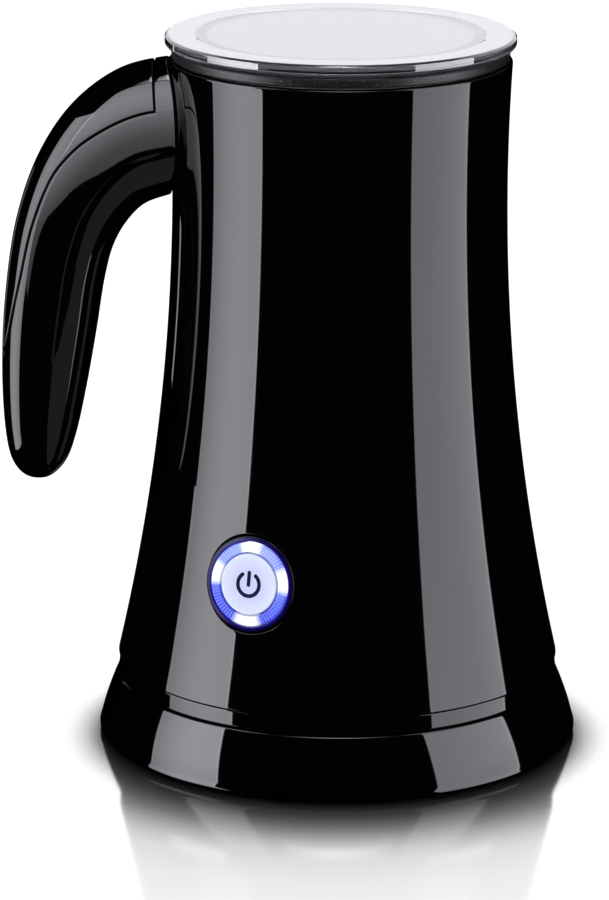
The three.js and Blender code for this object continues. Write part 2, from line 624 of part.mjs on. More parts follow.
function addHandle() {
  const blank = toSolid(handleBlank(1, 0, 1, 16, 18));
  const cavity = toSolid(handleBlank(HANDLE_CAVITY, 0.13, 0.76, 12, 9));
  const body = toSolid(revolve([
    [0, 130], ...bellCurve(130, 190, 6, GAP + 0.1), [0, 190],
  ]));
  const shell = blank.subtract(body).subtract(cavity);
  const drilled = HANDLE_SCREW_HEIGHTS.reduce((solid, z) => {
    const hole = rod(1.9, 36, 57).rotateY(-Math.PI / 2).translate(0, 0, z);
    return solid.subtract(toSolid(hole));
  }, shell);
  const gripSide = drilled.subtract(toSolid(coverRegion(-0.17)));
  const coverSide = shell.intersect(toSolid(coverRegion(0.17)));
  piece(frother, 'handle_body', toGeometry(gripSide), GLOSS_BLACK);
  piece(frother, 'handle_cover', toGeometry(coverSide), GLOSS_BLACK);
  HANDLE_SCREW_HEIGHTS.forEach((z, i) => {
    const fastener = screw(3, 1.4, 1.5, 14).rotateY(-Math.PI / 2);
    piece(frother, `handle_screw_${i + 1}`, fastener, STEEL, [-39.2, 0, z]);
  });
}

// ---------------------------------------------------------------- assembly

addBase();
addBaseConnector();
addCordGland();
addGlideRing();
addJugShell();
addJugSocket();
addPot();
addHeating();
addMotor();
addDriveRotor();
addWhisk();
addLid();
addButton();
addElectronics();
addHandle();

export default frother;
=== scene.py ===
"""Looks for a cordless milk frother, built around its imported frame.

The scene is in metres, +Z up, with the jug's axis on Z and the handle along -X. Shapes are
written in millimetres and scaled by MM when a mesh is made.
"""

import json
import math

import bpy
import numpy as np
from mathutils import Matrix, Vector


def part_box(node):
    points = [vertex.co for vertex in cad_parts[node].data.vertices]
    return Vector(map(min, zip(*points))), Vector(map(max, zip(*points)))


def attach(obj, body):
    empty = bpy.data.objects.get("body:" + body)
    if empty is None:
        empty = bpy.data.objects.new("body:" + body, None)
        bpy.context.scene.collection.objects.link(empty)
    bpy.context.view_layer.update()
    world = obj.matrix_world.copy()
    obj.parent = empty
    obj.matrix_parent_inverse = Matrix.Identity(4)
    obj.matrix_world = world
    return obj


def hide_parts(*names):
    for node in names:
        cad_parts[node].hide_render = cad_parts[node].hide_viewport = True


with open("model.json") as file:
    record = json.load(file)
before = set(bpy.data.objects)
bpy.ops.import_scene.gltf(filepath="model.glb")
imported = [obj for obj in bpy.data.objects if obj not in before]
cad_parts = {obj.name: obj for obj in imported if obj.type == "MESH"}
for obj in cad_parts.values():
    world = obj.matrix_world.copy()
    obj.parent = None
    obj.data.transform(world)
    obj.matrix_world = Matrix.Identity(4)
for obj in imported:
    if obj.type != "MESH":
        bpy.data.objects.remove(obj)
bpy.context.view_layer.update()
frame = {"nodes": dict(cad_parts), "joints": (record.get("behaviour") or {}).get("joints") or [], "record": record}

bodies = frame["record"]["behaviour"]["bodies"]
BODY_OF = {node: body for body, nodes in bodies.items() for node in nodes}
SLOT_OF = {part["node"]: part["material_slot"] for part in frame["record"]["subparts"]}

# ---------------------------------------------------------------- driving dimensions (mm)

MM = 0.001
GAP = 0.3                  # clearance between neighbouring pieces
ARC_STEP = math.radians(13)
SHARP_CORNER = math.radians(32)

LID_ROUND = 192            # columns round the turned pieces, from the finest to the coarsest
ROUND = 160
BUTTON_ROUND = 128
MEDIUM_ROUND = 96
SMALL_ROUND = 64
FOOT_ROUND = 48

WAIST_RADIUS = 43.4        # the bell-shaped housing is narrowest here
WAIST_HEIGHT = 148.5
FLARE = 14.88              # how much wider the housing is at FLARE_HEIGHT from its waist
FLARE_HEIGHT = 128.5
HOUSING_WALL = 2.4

SKIRT_RADIUS = 63.4        # the base's skirt, level with the base plate's underside
SKIRT_LEAN = 0.22
SKIRT_BOW = 0.0078

BUTTON_HOLE = 12.7
HOLE_ROUNDING = 0.35
BEZEL_RADIUS = 12.4
LIGHT_RADIUS = 10.7
CAP_RADIUS = 7.9
BUTTON_DEPTH = 5           # of the bezel and the light ring behind the button's own plane
CAP_FACE = 0.95            # height of the cap's face over that plane
LAMPS = [(12, 23), (91, 21), (168, 22), (271, 27)]  # angle and half width of each, degrees
LIGHT_RIBS = 76

LID_RADIUS = 45.2
LID_SUNK = 0.35            # depth of the lid's sunk middle
COIL_TURNS = 18
WIRE_RADIUS = 0.55

HANDLE_HALF_WIDTH = 12.8
HANDLE_EDGES = [
    # outer x, outer z, inner x, inner z, share of the full half width
    [-38, 179.7, -38, 145.2, 1.0],
    [-46, 179.2, -44.5, 143.6, 1.0],
    [-57, 176.2, -50.6, 141.2, 0.99],
    [-68.5, 167.8, -55.3, 136.3, 0.97],
    [-77.5, 155, -58.6, 130.3, 0.94],
    [-83.6, 138.5, -61, 121.5, 0.9],
    [-87, 118, -63.3, 107.5, 0.85],
    [-88.2, 98, -66, 92.5, 0.8],
    [-87.6, 81, -69, 79, 0.73],
    [-86.2, 73.2, -71.2, 72.8, 0.63],
    [-84.2, 69.6, -73.7, 69.4, 0.47],
    [-81.8, 67.7, -76.2, 67.6, 0.26],
    [-79, 66.9, -79, 66.9, 0],
]
SECTION_SOFTNESS = 2 / 2.5  # the section is a superellipse of power 2.5
COVER_SEAM = [
    # the cover's edge on the side of the handle, from beside the housing to the outer edge
    [-46, 167.7], [-50, 167], [-54.9, 165.4], [-60.5, 162.6], [-66.3, 158.7], [-70.9, 154.1],
    [-74.3, 149.3], [-79.2, 137], [-83, 121], [-88, 100],
]
COVER_START = 1.19         # places along the handle, counted in rows of HANDLE_EDGES
COVER_END = 6.8
COVER_THICKNESS = 1.3
COVER_POCKET = 1.5
POCKET_WALL = 0.02         # slant of the pocket's wall, from its top to its floor
SEAM_EDGE = [
    # distance from the middle of the seam, depth: the rolled edge on either side of it
    [0.16, 0.36], [0.25, 0.12], [0.5, 0],
]
ROOT_EDGE = [
    # distance from the housing, depth: the rolled edge where the handle meets it
    [0.25, 0.4], [0.35, 0.12], [0.65, 0],
]


def span(node):
    """Lowest and highest corner of a CAD node at rest, in millimetres."""
    low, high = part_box(node)
    return low / MM, high / MM


def top_of(node):
    return span(node)[1].z


def bottom_of(node):
    return span(node)[0].z


def levels(node):
    """Height of a CAD node's lowest and highest point."""
    return bottom_of(node), top_of(node)


def radius_of(node):
    low, high = span(node)
    return (high.x - low.x) / 2


def skirt_radius(z):
    return SKIRT_RADIUS - SKIRT_LEAN * z - SKIRT_BOW * z**2


def housing_radius(z):
    return WAIST_RADIUS + FLARE * ((z - WAIST_HEIGHT) / FLARE_HEIGHT) ** 2


def housing_slope(z):
    return 2 * FLARE * (z - WAIST_HEIGHT) / FLARE_HEIGHT**2


# ---------------------------------------------------------------- mesh building


def grid_normals(grid, around, along):
    """Smooth normals of a grid of points, from the slopes along its rows and columns."""

    def slope(axis, wraps):
        if wraps:
            return np.roll(grid, -1, axis) - np.roll(grid, 1, axis)
        return np.gradient(grid, axis=axis)

    normals = np.cross(slope(1, around), slope(0, along))
    lengths = np.linalg.norm(normals, axis=2)
    normals /= np.maximum(lengths, 1e-12)[..., None]
    for i in np.flatnonzero(lengths.max(axis=1) < 1e-9):  # a row that has shrunk to a point
        mean = normals[1 if i == 0 else -2].sum(axis=0)
        normals[i] = mean / np.linalg.norm(mean)
    return normals


class Skin:
    """Grids of points welded into one mesh, in which each grid keeps its own smooth normals."""

    def __init__(self):
        self.numbers = {}
        self.points = []
        self.faces = []
        self.normals = []

    def number(self, point):
        key = tuple(np.round(point, 4))
        if key not in self.numbers:
            self.numbers[key] = len(self.points)
            self.points.append(tuple(point * MM))
        return self.numbers[key]

    def add(self, grid, around=False, along=False, keep=None):
        """grid[row][column] holds points; columns run anticlockwise seen from outside as rows rise.

        around joins the last column to the first, along the last row to the first.
        keep(row, column) says whether a cell gets its face.
        """
        grid = np.asarray(grid, float)
        normals = grid_normals(grid, around, along)
        rows, columns = grid.shape[:2]
        numbers = [[self.number(point) for point in row] for row in grid]
        for i in range(rows if along else rows - 1):
            for j in range(columns if around else columns - 1):
                if keep and not keep(i, j):
                    continue
                above, beside = (i + 1) % rows, (j + 1) % columns
                face = {}
                for a, b in ((i, j), (i, beside), (above, beside), (above, j)):
                    face.setdefault(numbers[a][b], normals[a, b])
                if len(face) > 2:
                    self.faces.append(list(face))
                    self.normals.extend(face.values())
        return self

    def mesh(self, name):
        made = bpy.data.meshes.new(name)
        made.from_pydata(self.points, [], self.faces)
        made.normals_split_custom_set([tuple(normal) for normal in self.normals])
        return made


def rounded(rows, closed=True):
    """An outline from rows of [x, y] or [x, y, radius], with each given radius as an arc."""
    points = []
    count = len(rows)
    for i, (x, y, *radius) in enumerate(rows):
        corner = np.array([x, y], float)
        if not radius or not radius[0] or (not closed and i in (0, count - 1)):
            points.append(corner)
            continue
        back = np.array(rows[i - 1][:2], float) - corner
        ahead = np.array(rows[(i + 1) % count][:2], float) - corner
        reach = 0.49 * min(np.linalg.norm(back), np.linalg.norm(ahead))
        back /= np.linalg.norm(back)
        ahead /= np.linalg.norm(ahead)
        half = math.acos(np.clip(back @ ahead, -1, 1)) / 2
        size = min(radius[0], reach * math.tan(half))
        middle = (back + ahead) / np.linalg.norm(back + ahead)
        centre = corner + middle * size / math.sin(half)
        start = corner + back * size / math.tan(half) - centre
        turn = math.pi - 2 * half
        turn *= math.copysign(1, back[1] * ahead[0] - back[0] * ahead[1])
        steps = max(2, math.ceil(abs(turn) / ARC_STEP))
        for step in range(steps + 1):
            c, s = math.cos(turn * step / steps), math.sin(turn * step / steps)
            points.append(centre + [c * start[0] - s * start[1], s * start[0] + c * start[1]])
    return np.array(points)


def smooth_runs(profile):
    """Splits a profile at its sharp corners. Yields (points, whether the run closes on itself)."""
    closed = profile[0][0] > 1e-6 or profile[-1][0] > 1e-6
    edges = np.roll(profile, -1, 0) - profile
    count = len(profile)

    def is_sharp(i):
        if not closed and i in (0, count - 1):
            return True
        before, after = edges[i - 1], edges[i]
        turn = math.atan2(before[0] * after[1] - before[1] * after[0], before @ after)
        return abs(turn) > SHARP_CORNER

    corners = [i for i in range(count) if is_sharp(i)]
    if not corners:
        yield profile, True
        return
    ends = corners[1:] + ([corners[0] + count] if closed else [])
    for start, end in zip(corners, ends):
        yield np.array([profile[i % count] for i in range(start, end + 1)]), False


def turned(points, columns):
    """The grid made by turning [radius, height] points about Z."""
    angles = 2 * np.pi * np.arange(columns) / columns
    radius, height = np.asarray(points, float).T
    return np.stack([
        np.outer(radius, np.cos(angles)),
        np.outer(radius, np.sin(angles)),
        np.repeat(height[:, None], columns, 1),
    ], axis=2)


def border(grid):
    """The points round the edge of a grid."""
    return np.concatenate([grid[0, :-1], grid[:-1, -1], grid[-1, :0:-1], grid[:0:-1, 0]])


def lathe(profile, columns=ROUND, keep=None):
    """Turns a closed profile, or one that starts and ends on the axis. Points run anticlockwise.

    keep(lower, upper, column) gets two neighbouring profile points.
    """
    skin = Skin()
    for run, closes in smooth_runs(np.asarray(profile, float)):
        wanted = keep and (lambda i, j, run=run: keep(run[i], run[(i + 1) % len(run)], j))
        skin.add(turned(run, columns), around=True, along=closes, keep=wanted)
    return skin


def closed_wire(path, radius, sides=12):
    """A round wire along a closed path."""
    ahead = np.roll(path, -1, 0) - np.roll(path, 1, 0)
    ahead /= np.linalg.norm(ahead, axis=1)[:, None]
    side = np.cross(ahead[0], [0, 0, 1] if abs(ahead[0][2]) < 0.9 else [1, 0, 0])
    turns = 2 * np.pi * np.arange(sides) / sides
    rings = []
    for centre, direction in zip(path, ahead):
        side = side - direction * (side @ direction)
        side /= np.linalg.norm(side)
        up = np.cross(direction, side)
        rings.append(centre + radius * (np.outer(np.cos(turns), side) + np.outer(np.sin(turns), up)))
    return Skin().add(rings, around=True, along=True)


def piece(name, skin, body, slot, stands_for=(), place=None, material=None):
    """One object that rides on a CAD body and stands for CAD nodes.

    It has its slot's material, unless another one is named.
    """
    made = bpy.data.objects.new(name, skin.mesh(name))
    bpy.context.scene.collection.objects.link(made)
    made.data.materials.append(MATERIALS[material or slot])
    if place is not None:
        made.matrix_world = place
    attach(made, body)
    if stands_for:
        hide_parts(*stands_for)
    return made


def stand_in(name, node, skin, place=None):
    """A piece that stands for one CAD node, on that node's body and in its slot."""
    return piece(name, skin, BODY_OF[node], SLOT_OF[node], [node], place)


def turned_piece(name, node, rows, columns=ROUND, closed=True, place=None):
    """A stand-in turned from the rows of its outline, which are as in rounded."""
    return stand_in(name, node, lathe(rounded(rows, closed), columns), place)


def at(x, y, z=0):
    return Matrix.Translation(Vector((x, y, z)) * MM)


# ---------------------------------------------------------------- materials


class Nodes:
    """Short ways to add nodes to a node tree. A value can be another node's output."""

    def __init__(self, tree):
        self.nodes = tree.nodes
        self.links = tree.links

    def node(self, kind, inputs=(), **settings):
        made = self.nodes.new(kind)
        for key, value in settings.items():
            setattr(made, key, value)
        for key, value in dict(inputs).items():
            if isinstance(value, bpy.types.NodeSocket):
                self.links.new(value, made.inputs[key])
            else:
                made.inputs[key].default_value = value
        return made

    def math(self, operation, first, second=0.0, third=0.0):
        inputs = {0: first, 1: second, 2: third}
        return self.node("ShaderNodeMath", inputs, operation=operation).outputs[0]

    def mix(self, share, first, second, blend="MIX"):
        """A colour between two others, or their product for MULTIPLY."""
        colours = {key: value if isinstance(value, bpy.types.NodeSocket) else (*value, 1)
                   for key, value in ((6, first), (7, second))}
        inputs = {0: share, **colours}
        return self.node("ShaderNodeMix", inputs, data_type="RGBA", blend_type=blend).outputs[2]

    def ramp(self, factor, stops, smooth=True):
        """Colour or grey from rows of (position, colour)."""
        made = self.node("ShaderNodeValToRGB", {"Fac": factor})
        made.color_ramp.interpolation = "EASE" if smooth else "LINEAR"
        elements = made.color_ramp.elements
        while len(elements) < len(stops):
            elements.new(0.5)
        for element, (position, colour) in zip(elements, stops):
            element.position = position
            element.color = (*colour, 1) if hasattr(colour, "__len__") else (colour,) * 3 + (1,)
        return made.outputs["Color"]

    def rise(self, value, low, high, **settings):
        """From 0 at low to 1 at high."""
        inputs = {"Value": value, "From Min": low, "From Max": high}
        return self.node("ShaderNodeMapRange", inputs, **settings).outputs["Result"]


class Surface(Nodes):
    """A node material with one Principled shader. Scales are in cycles a metre."""

    def __init__(self, name, **constants):
        self.material = bpy.data.materials.new(name)
        self.material.use_nodes = True
        super().__init__(self.material.node_tree)
        self.shader = self.nodes["Principled BSDF"]
        self.place = self.node("ShaderNodeTexCoord").outputs["Object"]
        for socket, value in constants.items():
            self.shader.inputs[socket.replace("_", " ")].default_value = value

    def noise(self, scale, detail=3.0, stretch=(1, 1, 1)):
        """Noise from 0 to 1."""
        place = self.node("ShaderNodeMapping", {"Vector": self.place, "Scale": stretch}).outputs[0]
        inputs = {"Vector": place, "Scale": scale, "Detail": detail}
        return self.node("ShaderNodeTexNoise", inputs).outputs["Fac"]

    def set(self, socket, output):
        self.links.new(output, self.shader.inputs[socket])

    def colour(self, factor, stops):
        self.set("Base Color", self.ramp(factor, stops))

    def mottle(self, factor, dark, light):
        self.colour(factor, [(0.3, dark), (0.7, light)])

    def gloss(self, factor, low, high):
        """Uneven roughness."""
        inputs = {"Value": factor, "To Min": low, "To Max": high}
        self.set("Roughness", self.node("ShaderNodeMapRange", inputs).outputs["Result"])

    def glow(self, colour):
        self.shader.inputs["Emission Strength"].default_value = 1.0
        self.set("Emission Color", colour)

    def bump(self, height, strength, depth):
        """depth is the height of the relief in millimetres."""
        inputs = {"Height": height, "Strength": strength, "Distance": depth * MM}
        self.set("Normal", self.node("ShaderNodeBump", inputs).outputs["Normal"])

    def radius(self, forward=0.0):
        """Distance from the piece's own Z axis, or from a line that far in front, in millimetres."""
        parts = self.node("ShaderNodeSeparateXYZ", {0: self.place}).outputs
        depth = self.math("ADD", parts[1], forward * MM)
        squares = self.math("ADD", self.math("MULTIPLY", parts[0], parts[0]),
                            self.math("MULTIPLY", depth, depth))
        return self.math("MULTIPLY", self.math("SQRT", squares), 1 / MM)

    def share_of(self, radius):
        return self.math("DIVIDE", self.radius(), radius)


def moulded(name, dark, light, gloss, relief, **constants):
    """Moulded plastic, rubber or cast metal: mottled colour, uneven gloss and a fine grain."""
    made = Surface(name, **constants)
    made.mottle(made.noise(60), dark, light)
    made.gloss(made.noise(140), *gloss)
    if relief:
        made.bump(made.noise(900, detail=2), 1.0, relief)
    return made.material


def brushed(name, dark, light, gloss, stretch):
    """Metal with fine brush lines across the stretched axis."""
    made = Surface(name, Metallic=1.0)
    lines = made.noise(500, detail=4, stretch=stretch)
    made.mottle(lines, dark, light)
    made.gloss(lines, *gloss)
    made.bump(lines, 0.4, 0.01)
    return made.material


def gloss_black():
    """Polished housing plastic."""
    made = Surface("gloss_black", IOR=1.5)
    made.mottle(made.noise(25), (0.0004, 0.0004, 0.0005), (0.0007, 0.0007, 0.0009))
    made.gloss(made.noise(90, detail=5), 0.02, 0.05)
    return made.material


def bezel_black():
    """Black surround whose inner half carries blue light from the ring."""
    made = Surface("bezel_black", IOR=1.5, Specular_IOR_Level=0.15)
    share = made.share_of(BEZEL_RADIUS)
    made.colour(share, [
        (0.88, (0.004, 0.003, 0.05)), (0.93, (0.002, 0.001, 0.02)), (0.97, (0.001, 0.001, 0.002)),
    ])
    made.glow(made.ramp(share, [
        (0.88, (0.003, 0.0, 0.13)), (0.94, (0.002, 0.0, 0.07)), (0.985, (0.0, 0.0, 0.0)),
    ]))
    made.gloss(made.noise(300), 0.16, 0.26)
    return made.material


def non_stick():
    """Dark satin coating with fine light flecks."""
    made = Surface("non_stick_coating", IOR=1.45)
    made.colour(made.noise(2600, detail=1), [(0.62, (0.006, 0.006, 0.007)), (0.76, (0.12, 0.12, 0.13))])
    made.gloss(made.noise(700), 0.3, 0.5)
    made.bump(made.noise(1800, detail=2), 0.5, 0.03)
    return made.material


def clear_plastic():
    """Clear acrylic: polished at its sides, paler on top and frosted in the middle."""
    made = Surface("clear_plastic", IOR=1.49, Coat_Weight=1.0, Coat_IOR=1.8, Coat_Roughness=0.02)
    share = made.share_of(LID_RADIUS)
    inner, start, end, rim = (radius / LID_RADIUS for radius in (34.2, 34.9, 37.0, 37.7))
    made.colour(share, [
        (inner, (0.74, 0.74, 0.78)), (start, (0.49, 0.49, 0.52)), (end, (0.5, 0.5, 0.53)),
        (rim, (0.88, 0.88, 0.92)),
    ])
    made.set("Roughness", made.ramp(share, [(inner, 0.22), (start, 0.12), (rim, 0.02)]))
    height = made.node("ShaderNodeSeparateXYZ", {0: made.place}).outputs[2]
    sunk = top_of("lid") - LID_SUNK
    on_top = made.rise(height, (sunk - 0.1) * MM, sunk * MM)
    opaque = made.math("MULTIPLY", on_top, made.ramp(share, [
        (inner, 0.62), (start, 0.56), (end, 0.56), (rim, 0.6), (0.976, 0.6), (0.985, 0.0),
    ]))
    made.set("Transmission Weight", made.math("MULTIPLY_ADD", opaque, -1.0, 1.0))
    middle = made.ramp(share, [(inner, 1.0), (start, 0.0)])
    made.bump(made.math("MULTIPLY", made.noise(30, detail=1), middle), 0.1, 0.1)
    return made.material


def light_guide():
    """Ribbed ring, lit blue, with a white spot where each lamp sits behind it."""
    made = Surface("light_guide", IOR=1.49)
    turn = made.node("ShaderNodeTexGradient", {"Vector": made.place}, gradient_type="RADIAL")
    angle = made.math("MULTIPLY_ADD", turn.outputs["Fac"], 2 * math.pi, -math.pi)
    spots = 0.0
    for middle, half_width in LAMPS:
        near = made.math("COSINE", made.math("SUBTRACT", angle, math.radians(middle)))
        outside, inside = (math.cos(math.radians(half_width * share)) for share in (1, 0.4))
        spot = made.rise(near, outside, inside, interpolation_type="SMOOTHSTEP")
        spots = made.math("MAXIMUM", spots, spot)
    height = made.math("SINE", angle)
    ribs = made.math("SINE", made.math("MULTIPLY", angle, LIGHT_RIBS))
    uneven = made.math("MULTIPLY_ADD", made.noise(160), 0.6, -0.3)
    level = made.math("ADD", made.math("MULTIPLY_ADD", height, 0.4, 0.5), uneven)
    level = made.math("MULTIPLY_ADD", ribs, 0.13, level)
    made.colour(level, [(0.2, (0.02, 0.03, 0.2)), (0.8, (0.06, 0.08, 0.3))])
    blue = made.ramp(level, [
        (0.1, (0.02, 0.04, 0.55)), (0.45, (0.07, 0.1, 0.72)), (0.85, (0.26, 0.33, 0.85)),
    ])
    inner_edge = (CAP_RADIUS + GAP) / LIGHT_RADIUS
    shade = made.ramp(made.share_of(LIGHT_RADIUS), [
        (inner_edge - 0.01, (0.02, 0.02, 0.12)), (inner_edge + 0.012, (1.0, 1.0, 1.0)),
    ])
    made.glow(made.mix(1.0, made.mix(spots, blue, (0.96, 1.0, 0.93)), shade, "MULTIPLY"))
    made.gloss(made.noise(500), 0.2, 0.35)
    made.bump(ribs, 0.3, 0.1)
    return made.material


def button_white():
    """Milky cap, lit from behind and brighter towards its edge."""
    made = Surface("button_white", IOR=1.46)
    share = made.share_of(CAP_RADIUS)
    made.colour(share, [(0.4, (0.28, 0.29, 0.45)), (1.0, (0.33, 0.36, 0.5))])
    made.glow(made.ramp(share, [
        (0.3, (0.24, 0.245, 0.36)), (0.85, (0.27, 0.29, 0.41)), (0.965, (0.3, 0.34, 0.45)),
        (0.99, (0.01, 0.01, 0.06)),
    ]))
    made.gloss(made.noise(400), 0.28, 0.4)
    return made.material


def circuit_board():
    """Green board with lighter tracks."""
    made = Surface("circuit_board", IOR=1.5)
    tracks = made.node("ShaderNodeTexVoronoi", {"Vector": made.place, "Scale": 260.0},
                       feature="DISTANCE_TO_EDGE").outputs["Distance"]
    made.colour(tracks, [(0.03, (0.06, 0.3, 0.12)), (0.09, (0.012, 0.1, 0.035))])
    made.gloss(tracks, 0.3, 0.5)
    made.bump(tracks, 0.3, 0.05)
    return made.material


MATERIALS = {
    # Blender adds a number to a name that the frame's own material has already taken
    made.name.split(".")[0]: made for made in (
        gloss_black(), bezel_black(), non_stick(), clear_plastic(), light_guide(), button_white(),
        circuit_board(),
        moulded("matte_black", (0.011, 0.011, 0.012), (0.017, 0.017, 0.018), (0.42, 0.58), 0.03),
        moulded("silicone", (0.52, 0.52, 0.5), (0.62, 0.62, 0.6), (0.45, 0.6), 0.01,
                Subsurface_Weight=0.2),
        moulded("foot_rubber", (0.009, 0.009, 0.009), (0.015, 0.015, 0.015), (0.7, 0.9), 0.05),
        moulded("nylon", (0.66, 0.63, 0.55), (0.74, 0.71, 0.62), (0.35, 0.5), 0.01),
        brushed("steel", (0.5, 0.51, 0.53), (0.62, 0.63, 0.65), (0.2, 0.36), (1, 1, 12)),
        brushed("contact_brass", (0.6, 0.4, 0.14), (0.78, 0.56, 0.24), (0.22, 0.38), (1, 1, 8)),
        moulded("magnet", (0.42, 0.42, 0.43), (0.54, 0.54, 0.56), (0.25, 0.4), 0.01, Metallic=1.0),
        moulded("relay_blue", (0.015, 0.06, 0.3), (0.025, 0.09, 0.4), (0.35, 0.5), 0.02),
        moulded("white_plastic", (0.66, 0.66, 0.65), (0.76, 0.76, 0.75), (0.35, 0.5), 0.02),
        moulded("print_navy", (0.001, 0.001, 0.02), (0.003, 0.002, 0.045), (0.3, 0.4), 0,
                Specular_IOR_Level=0.1),
    )
}


def paint_frame():
    """Every CAD node that stays in view gets the finished material of its slot."""
    for node in frame["nodes"].values():
        for i, packed in enumerate(node.data.materials):
            node.data.materials[i] = MATERIALS[packed.name.split(".")[0]]


# ---------------------------------------------------------------- power base

PLATE_RISE = 0.6           # the plate's outer part, over its middle
PLATE_TOP = 2.2


def build_base():
    low, top = levels("base_cover")
    bore, ceiling = 12.8, top - 2.6
    skirt_inside = 61.7
    recess_inside, recess_outside, recess_floor = 37.7, 42.8, top - 1.5
    skirt = [[skirt_radius(z), z] for z in np.linspace(1.2, top - 0.8, 25)]
    turned_piece("base_cover_shell", "base_cover", [
        [bore, ceiling], [55.4, ceiling, 1], [58, 8, 2], [60, 2.7, 0.3], [skirt_inside, 2.3, 0.2],
        [skirt_inside, low, 0.25], [62.8, low, 0.5], [skirt_radius(0) + 0.1, 0.3, 1], *skirt,
        [skirt_radius(top), top, 0.7], [recess_outside, top, 0.25],
        [recess_outside, recess_floor, 0.15], [recess_inside, recess_floor, 0.15],
        [recess_inside, top, 0.25], [bore, top, 0.4],
    ])
    turned_piece("base_plate_disc", "base_plate", [
        [0, 0], [38, 0, 0.3], [38.6, PLATE_RISE, 0.3], [61.3, PLATE_RISE, 0.3],
        [61.3, PLATE_TOP, 0.2], [0, PLATE_TOP],
    ], closed=False)
    sole = bottom_of("foot_1")
    foot_rows = [[0, sole], [6, sole, 0.5], [6, PLATE_RISE, 0.3], [0, PLATE_RISE]]
    for i in range(1, 5):
        low, high = span(f"foot_{i}")
        middle = (low + high) / 2
        turned_piece(f"rubber_foot_{i}", f"foot_{i}", foot_rows, FOOT_ROUND, closed=False,
                     place=at(middle.x, middle.y))
    low, top = levels("glide_ring")
    turned_piece("glide_ring_turned", "glide_ring", [
        [38, low, 0.2], [42.5, low, 0.2], [42.5, top, 0.4], [38, top, 0.4],
    ])


def build_connector():
    top = top_of("connector_tower")
    flange, flange_top, foot = 18, 12.4, 9
    post, socket, socket_floor = 11, 2.3, 14
    turned_piece("connector_post", "connector_tower", [
        [0, foot], [flange, foot, 0.3], [flange, flange_top, 0.3], [post, flange_top, 0.4],
        [post, top, 1.2], [socket, top, 0.6], [socket, socket_floor, 0.2], [0, socket_floor],
    ], closed=False)
    turned_piece("connector_earth_ring", "tower_earth_ring", [
        [11.15, 13.2, 0.1], [12.2, 13.2, 0.3], [12.2, 21, 0.3], [11.15, 21, 0.1],
    ])
    bore, collar = 1.8, 4.8
    turn = Matrix.Rotation(math.radians(-90), 4, "X")
    turned_piece("cord_outlet", "cord_gland", [
        [bore, 53, 0.2], [collar, 53, 0.3], [collar, 54.6, 0.3], [3.6, 55, 0.2], [3.6, 57.2, 0.3],
        [3.2, 57.8, 0.2], [3.6, 58.4, 0.3], [3.5, 60.2, 0.3], [3.1, 60.8, 0.2], [3.4, 61.4, 0.3],
        [3.2, 63.4, 0.5], [bore, 64, 0.3],
    ], SMALL_ROUND, place=at(0, 0, top_of("cord_gland") - collar) @ turn)


# ---------------------------------------------------------------- jug housing


def button_frame():
    """Matrix of the button, in millimetres: X to the side, Y up the housing, Z outwards."""
    press = next(joint for joint in frame["joints"] if joint["name"] == "button_press")
    out = -Vector(press["axis"]).normalized()
    side = Vector((0, 0, 1)).cross(out).normalized()
    up = out.cross(side)
    low, high = span("button_bezel")
    centre = (low + high) / 2 + out * 2
    return Matrix.Translation(centre) @ Matrix((side, up, out)).transposed().to_4x4()


BUTTON = button_frame()
BUTTON_AXES = np.array(BUTTON)[:3, :3]
BUTTON_CENTRE = np.array(BUTTON)[:3, 3]
BUTTON_PLACE = Matrix.Translation(BUTTON.to_translation() * MM) @ BUTTON.to_3x3().to_4x4()


def onto_housing(flat, offset):
    """Drops points of the button's own plane along its axis onto the housing's surface."""
    out = BUTTON_AXES[:, 2]
    base = BUTTON_CENTRE + flat @ BUTTON_AXES[:, :2].T
    depth = np.full(flat.shape[:-1], float(offset))
    for _ in range(8):
        point = base + depth[..., None] * out
        across = np.linalg.norm(point[..., :2], axis=-1)
        error = across - housing_radius(point[..., 2]) - offset
        slope = point[..., :2] @ out[:2] / across - housing_slope(point[..., 2]) * out[2]
        depth -= error / slope
    return base + depth[..., None] * out


def hole_patch(corners, offset, bands):
    """Rings of points from a rectangle of the housing's grid in to the rim of the button hole."""
    flat = (corners - BUTTON_CENTRE) @ BUTTON_AXES[:, :2]
    spokes = np.arctan2(flat[:, 1], flat[:, 0])
    rim = (BUTTON_HOLE + HOLE_ROUNDING) * np.stack([np.cos(spokes), np.sin(spokes)], axis=1)
    rings = [corners]
    for share in np.linspace(0, 1, bands + 1)[1:] ** 0.8:
        rings.append(onto_housing(flat + (rim - flat) * share, offset))
    return rings, spokes


def housing_profile(heights, low, top):
    """Outline of the housing's wall, with its two lips, from the foot of its outside."""
    ledge = top - 2.3
    ledge_foot = ledge - 5

    def inside(z):
        return housing_radius(z) - HOUSING_WALL

    lower_lip = rounded([
        [inside(low), low + 0.5], [inside(low), low, 0.2], [housing_radius(low), low, 0.35],
        [housing_radius(low + 0.5), low + 0.5],
    ], closed=False)[1:-1]
    upper_lip = rounded([
        [housing_radius(top - 1), top - 1], [housing_radius(top), top, 0.5], [41.9, top, 0.3],
        [41.9, ledge, 0.1], [39.1, ledge, 0.2], [39.1, ledge - 1.6, 0.2], [41.4, ledge - 3.6, 0.5],
        [inside(ledge_foot), ledge_foot],
    ], closed=False)[1:-1]
    outer = [[housing_radius(z), z] for z in heights]
    inner = [[inside(z), z] for z in heights[heights < ledge_foot][::-1]]
    return np.array([*lower_lip, *outer, *upper_lip, *inner])


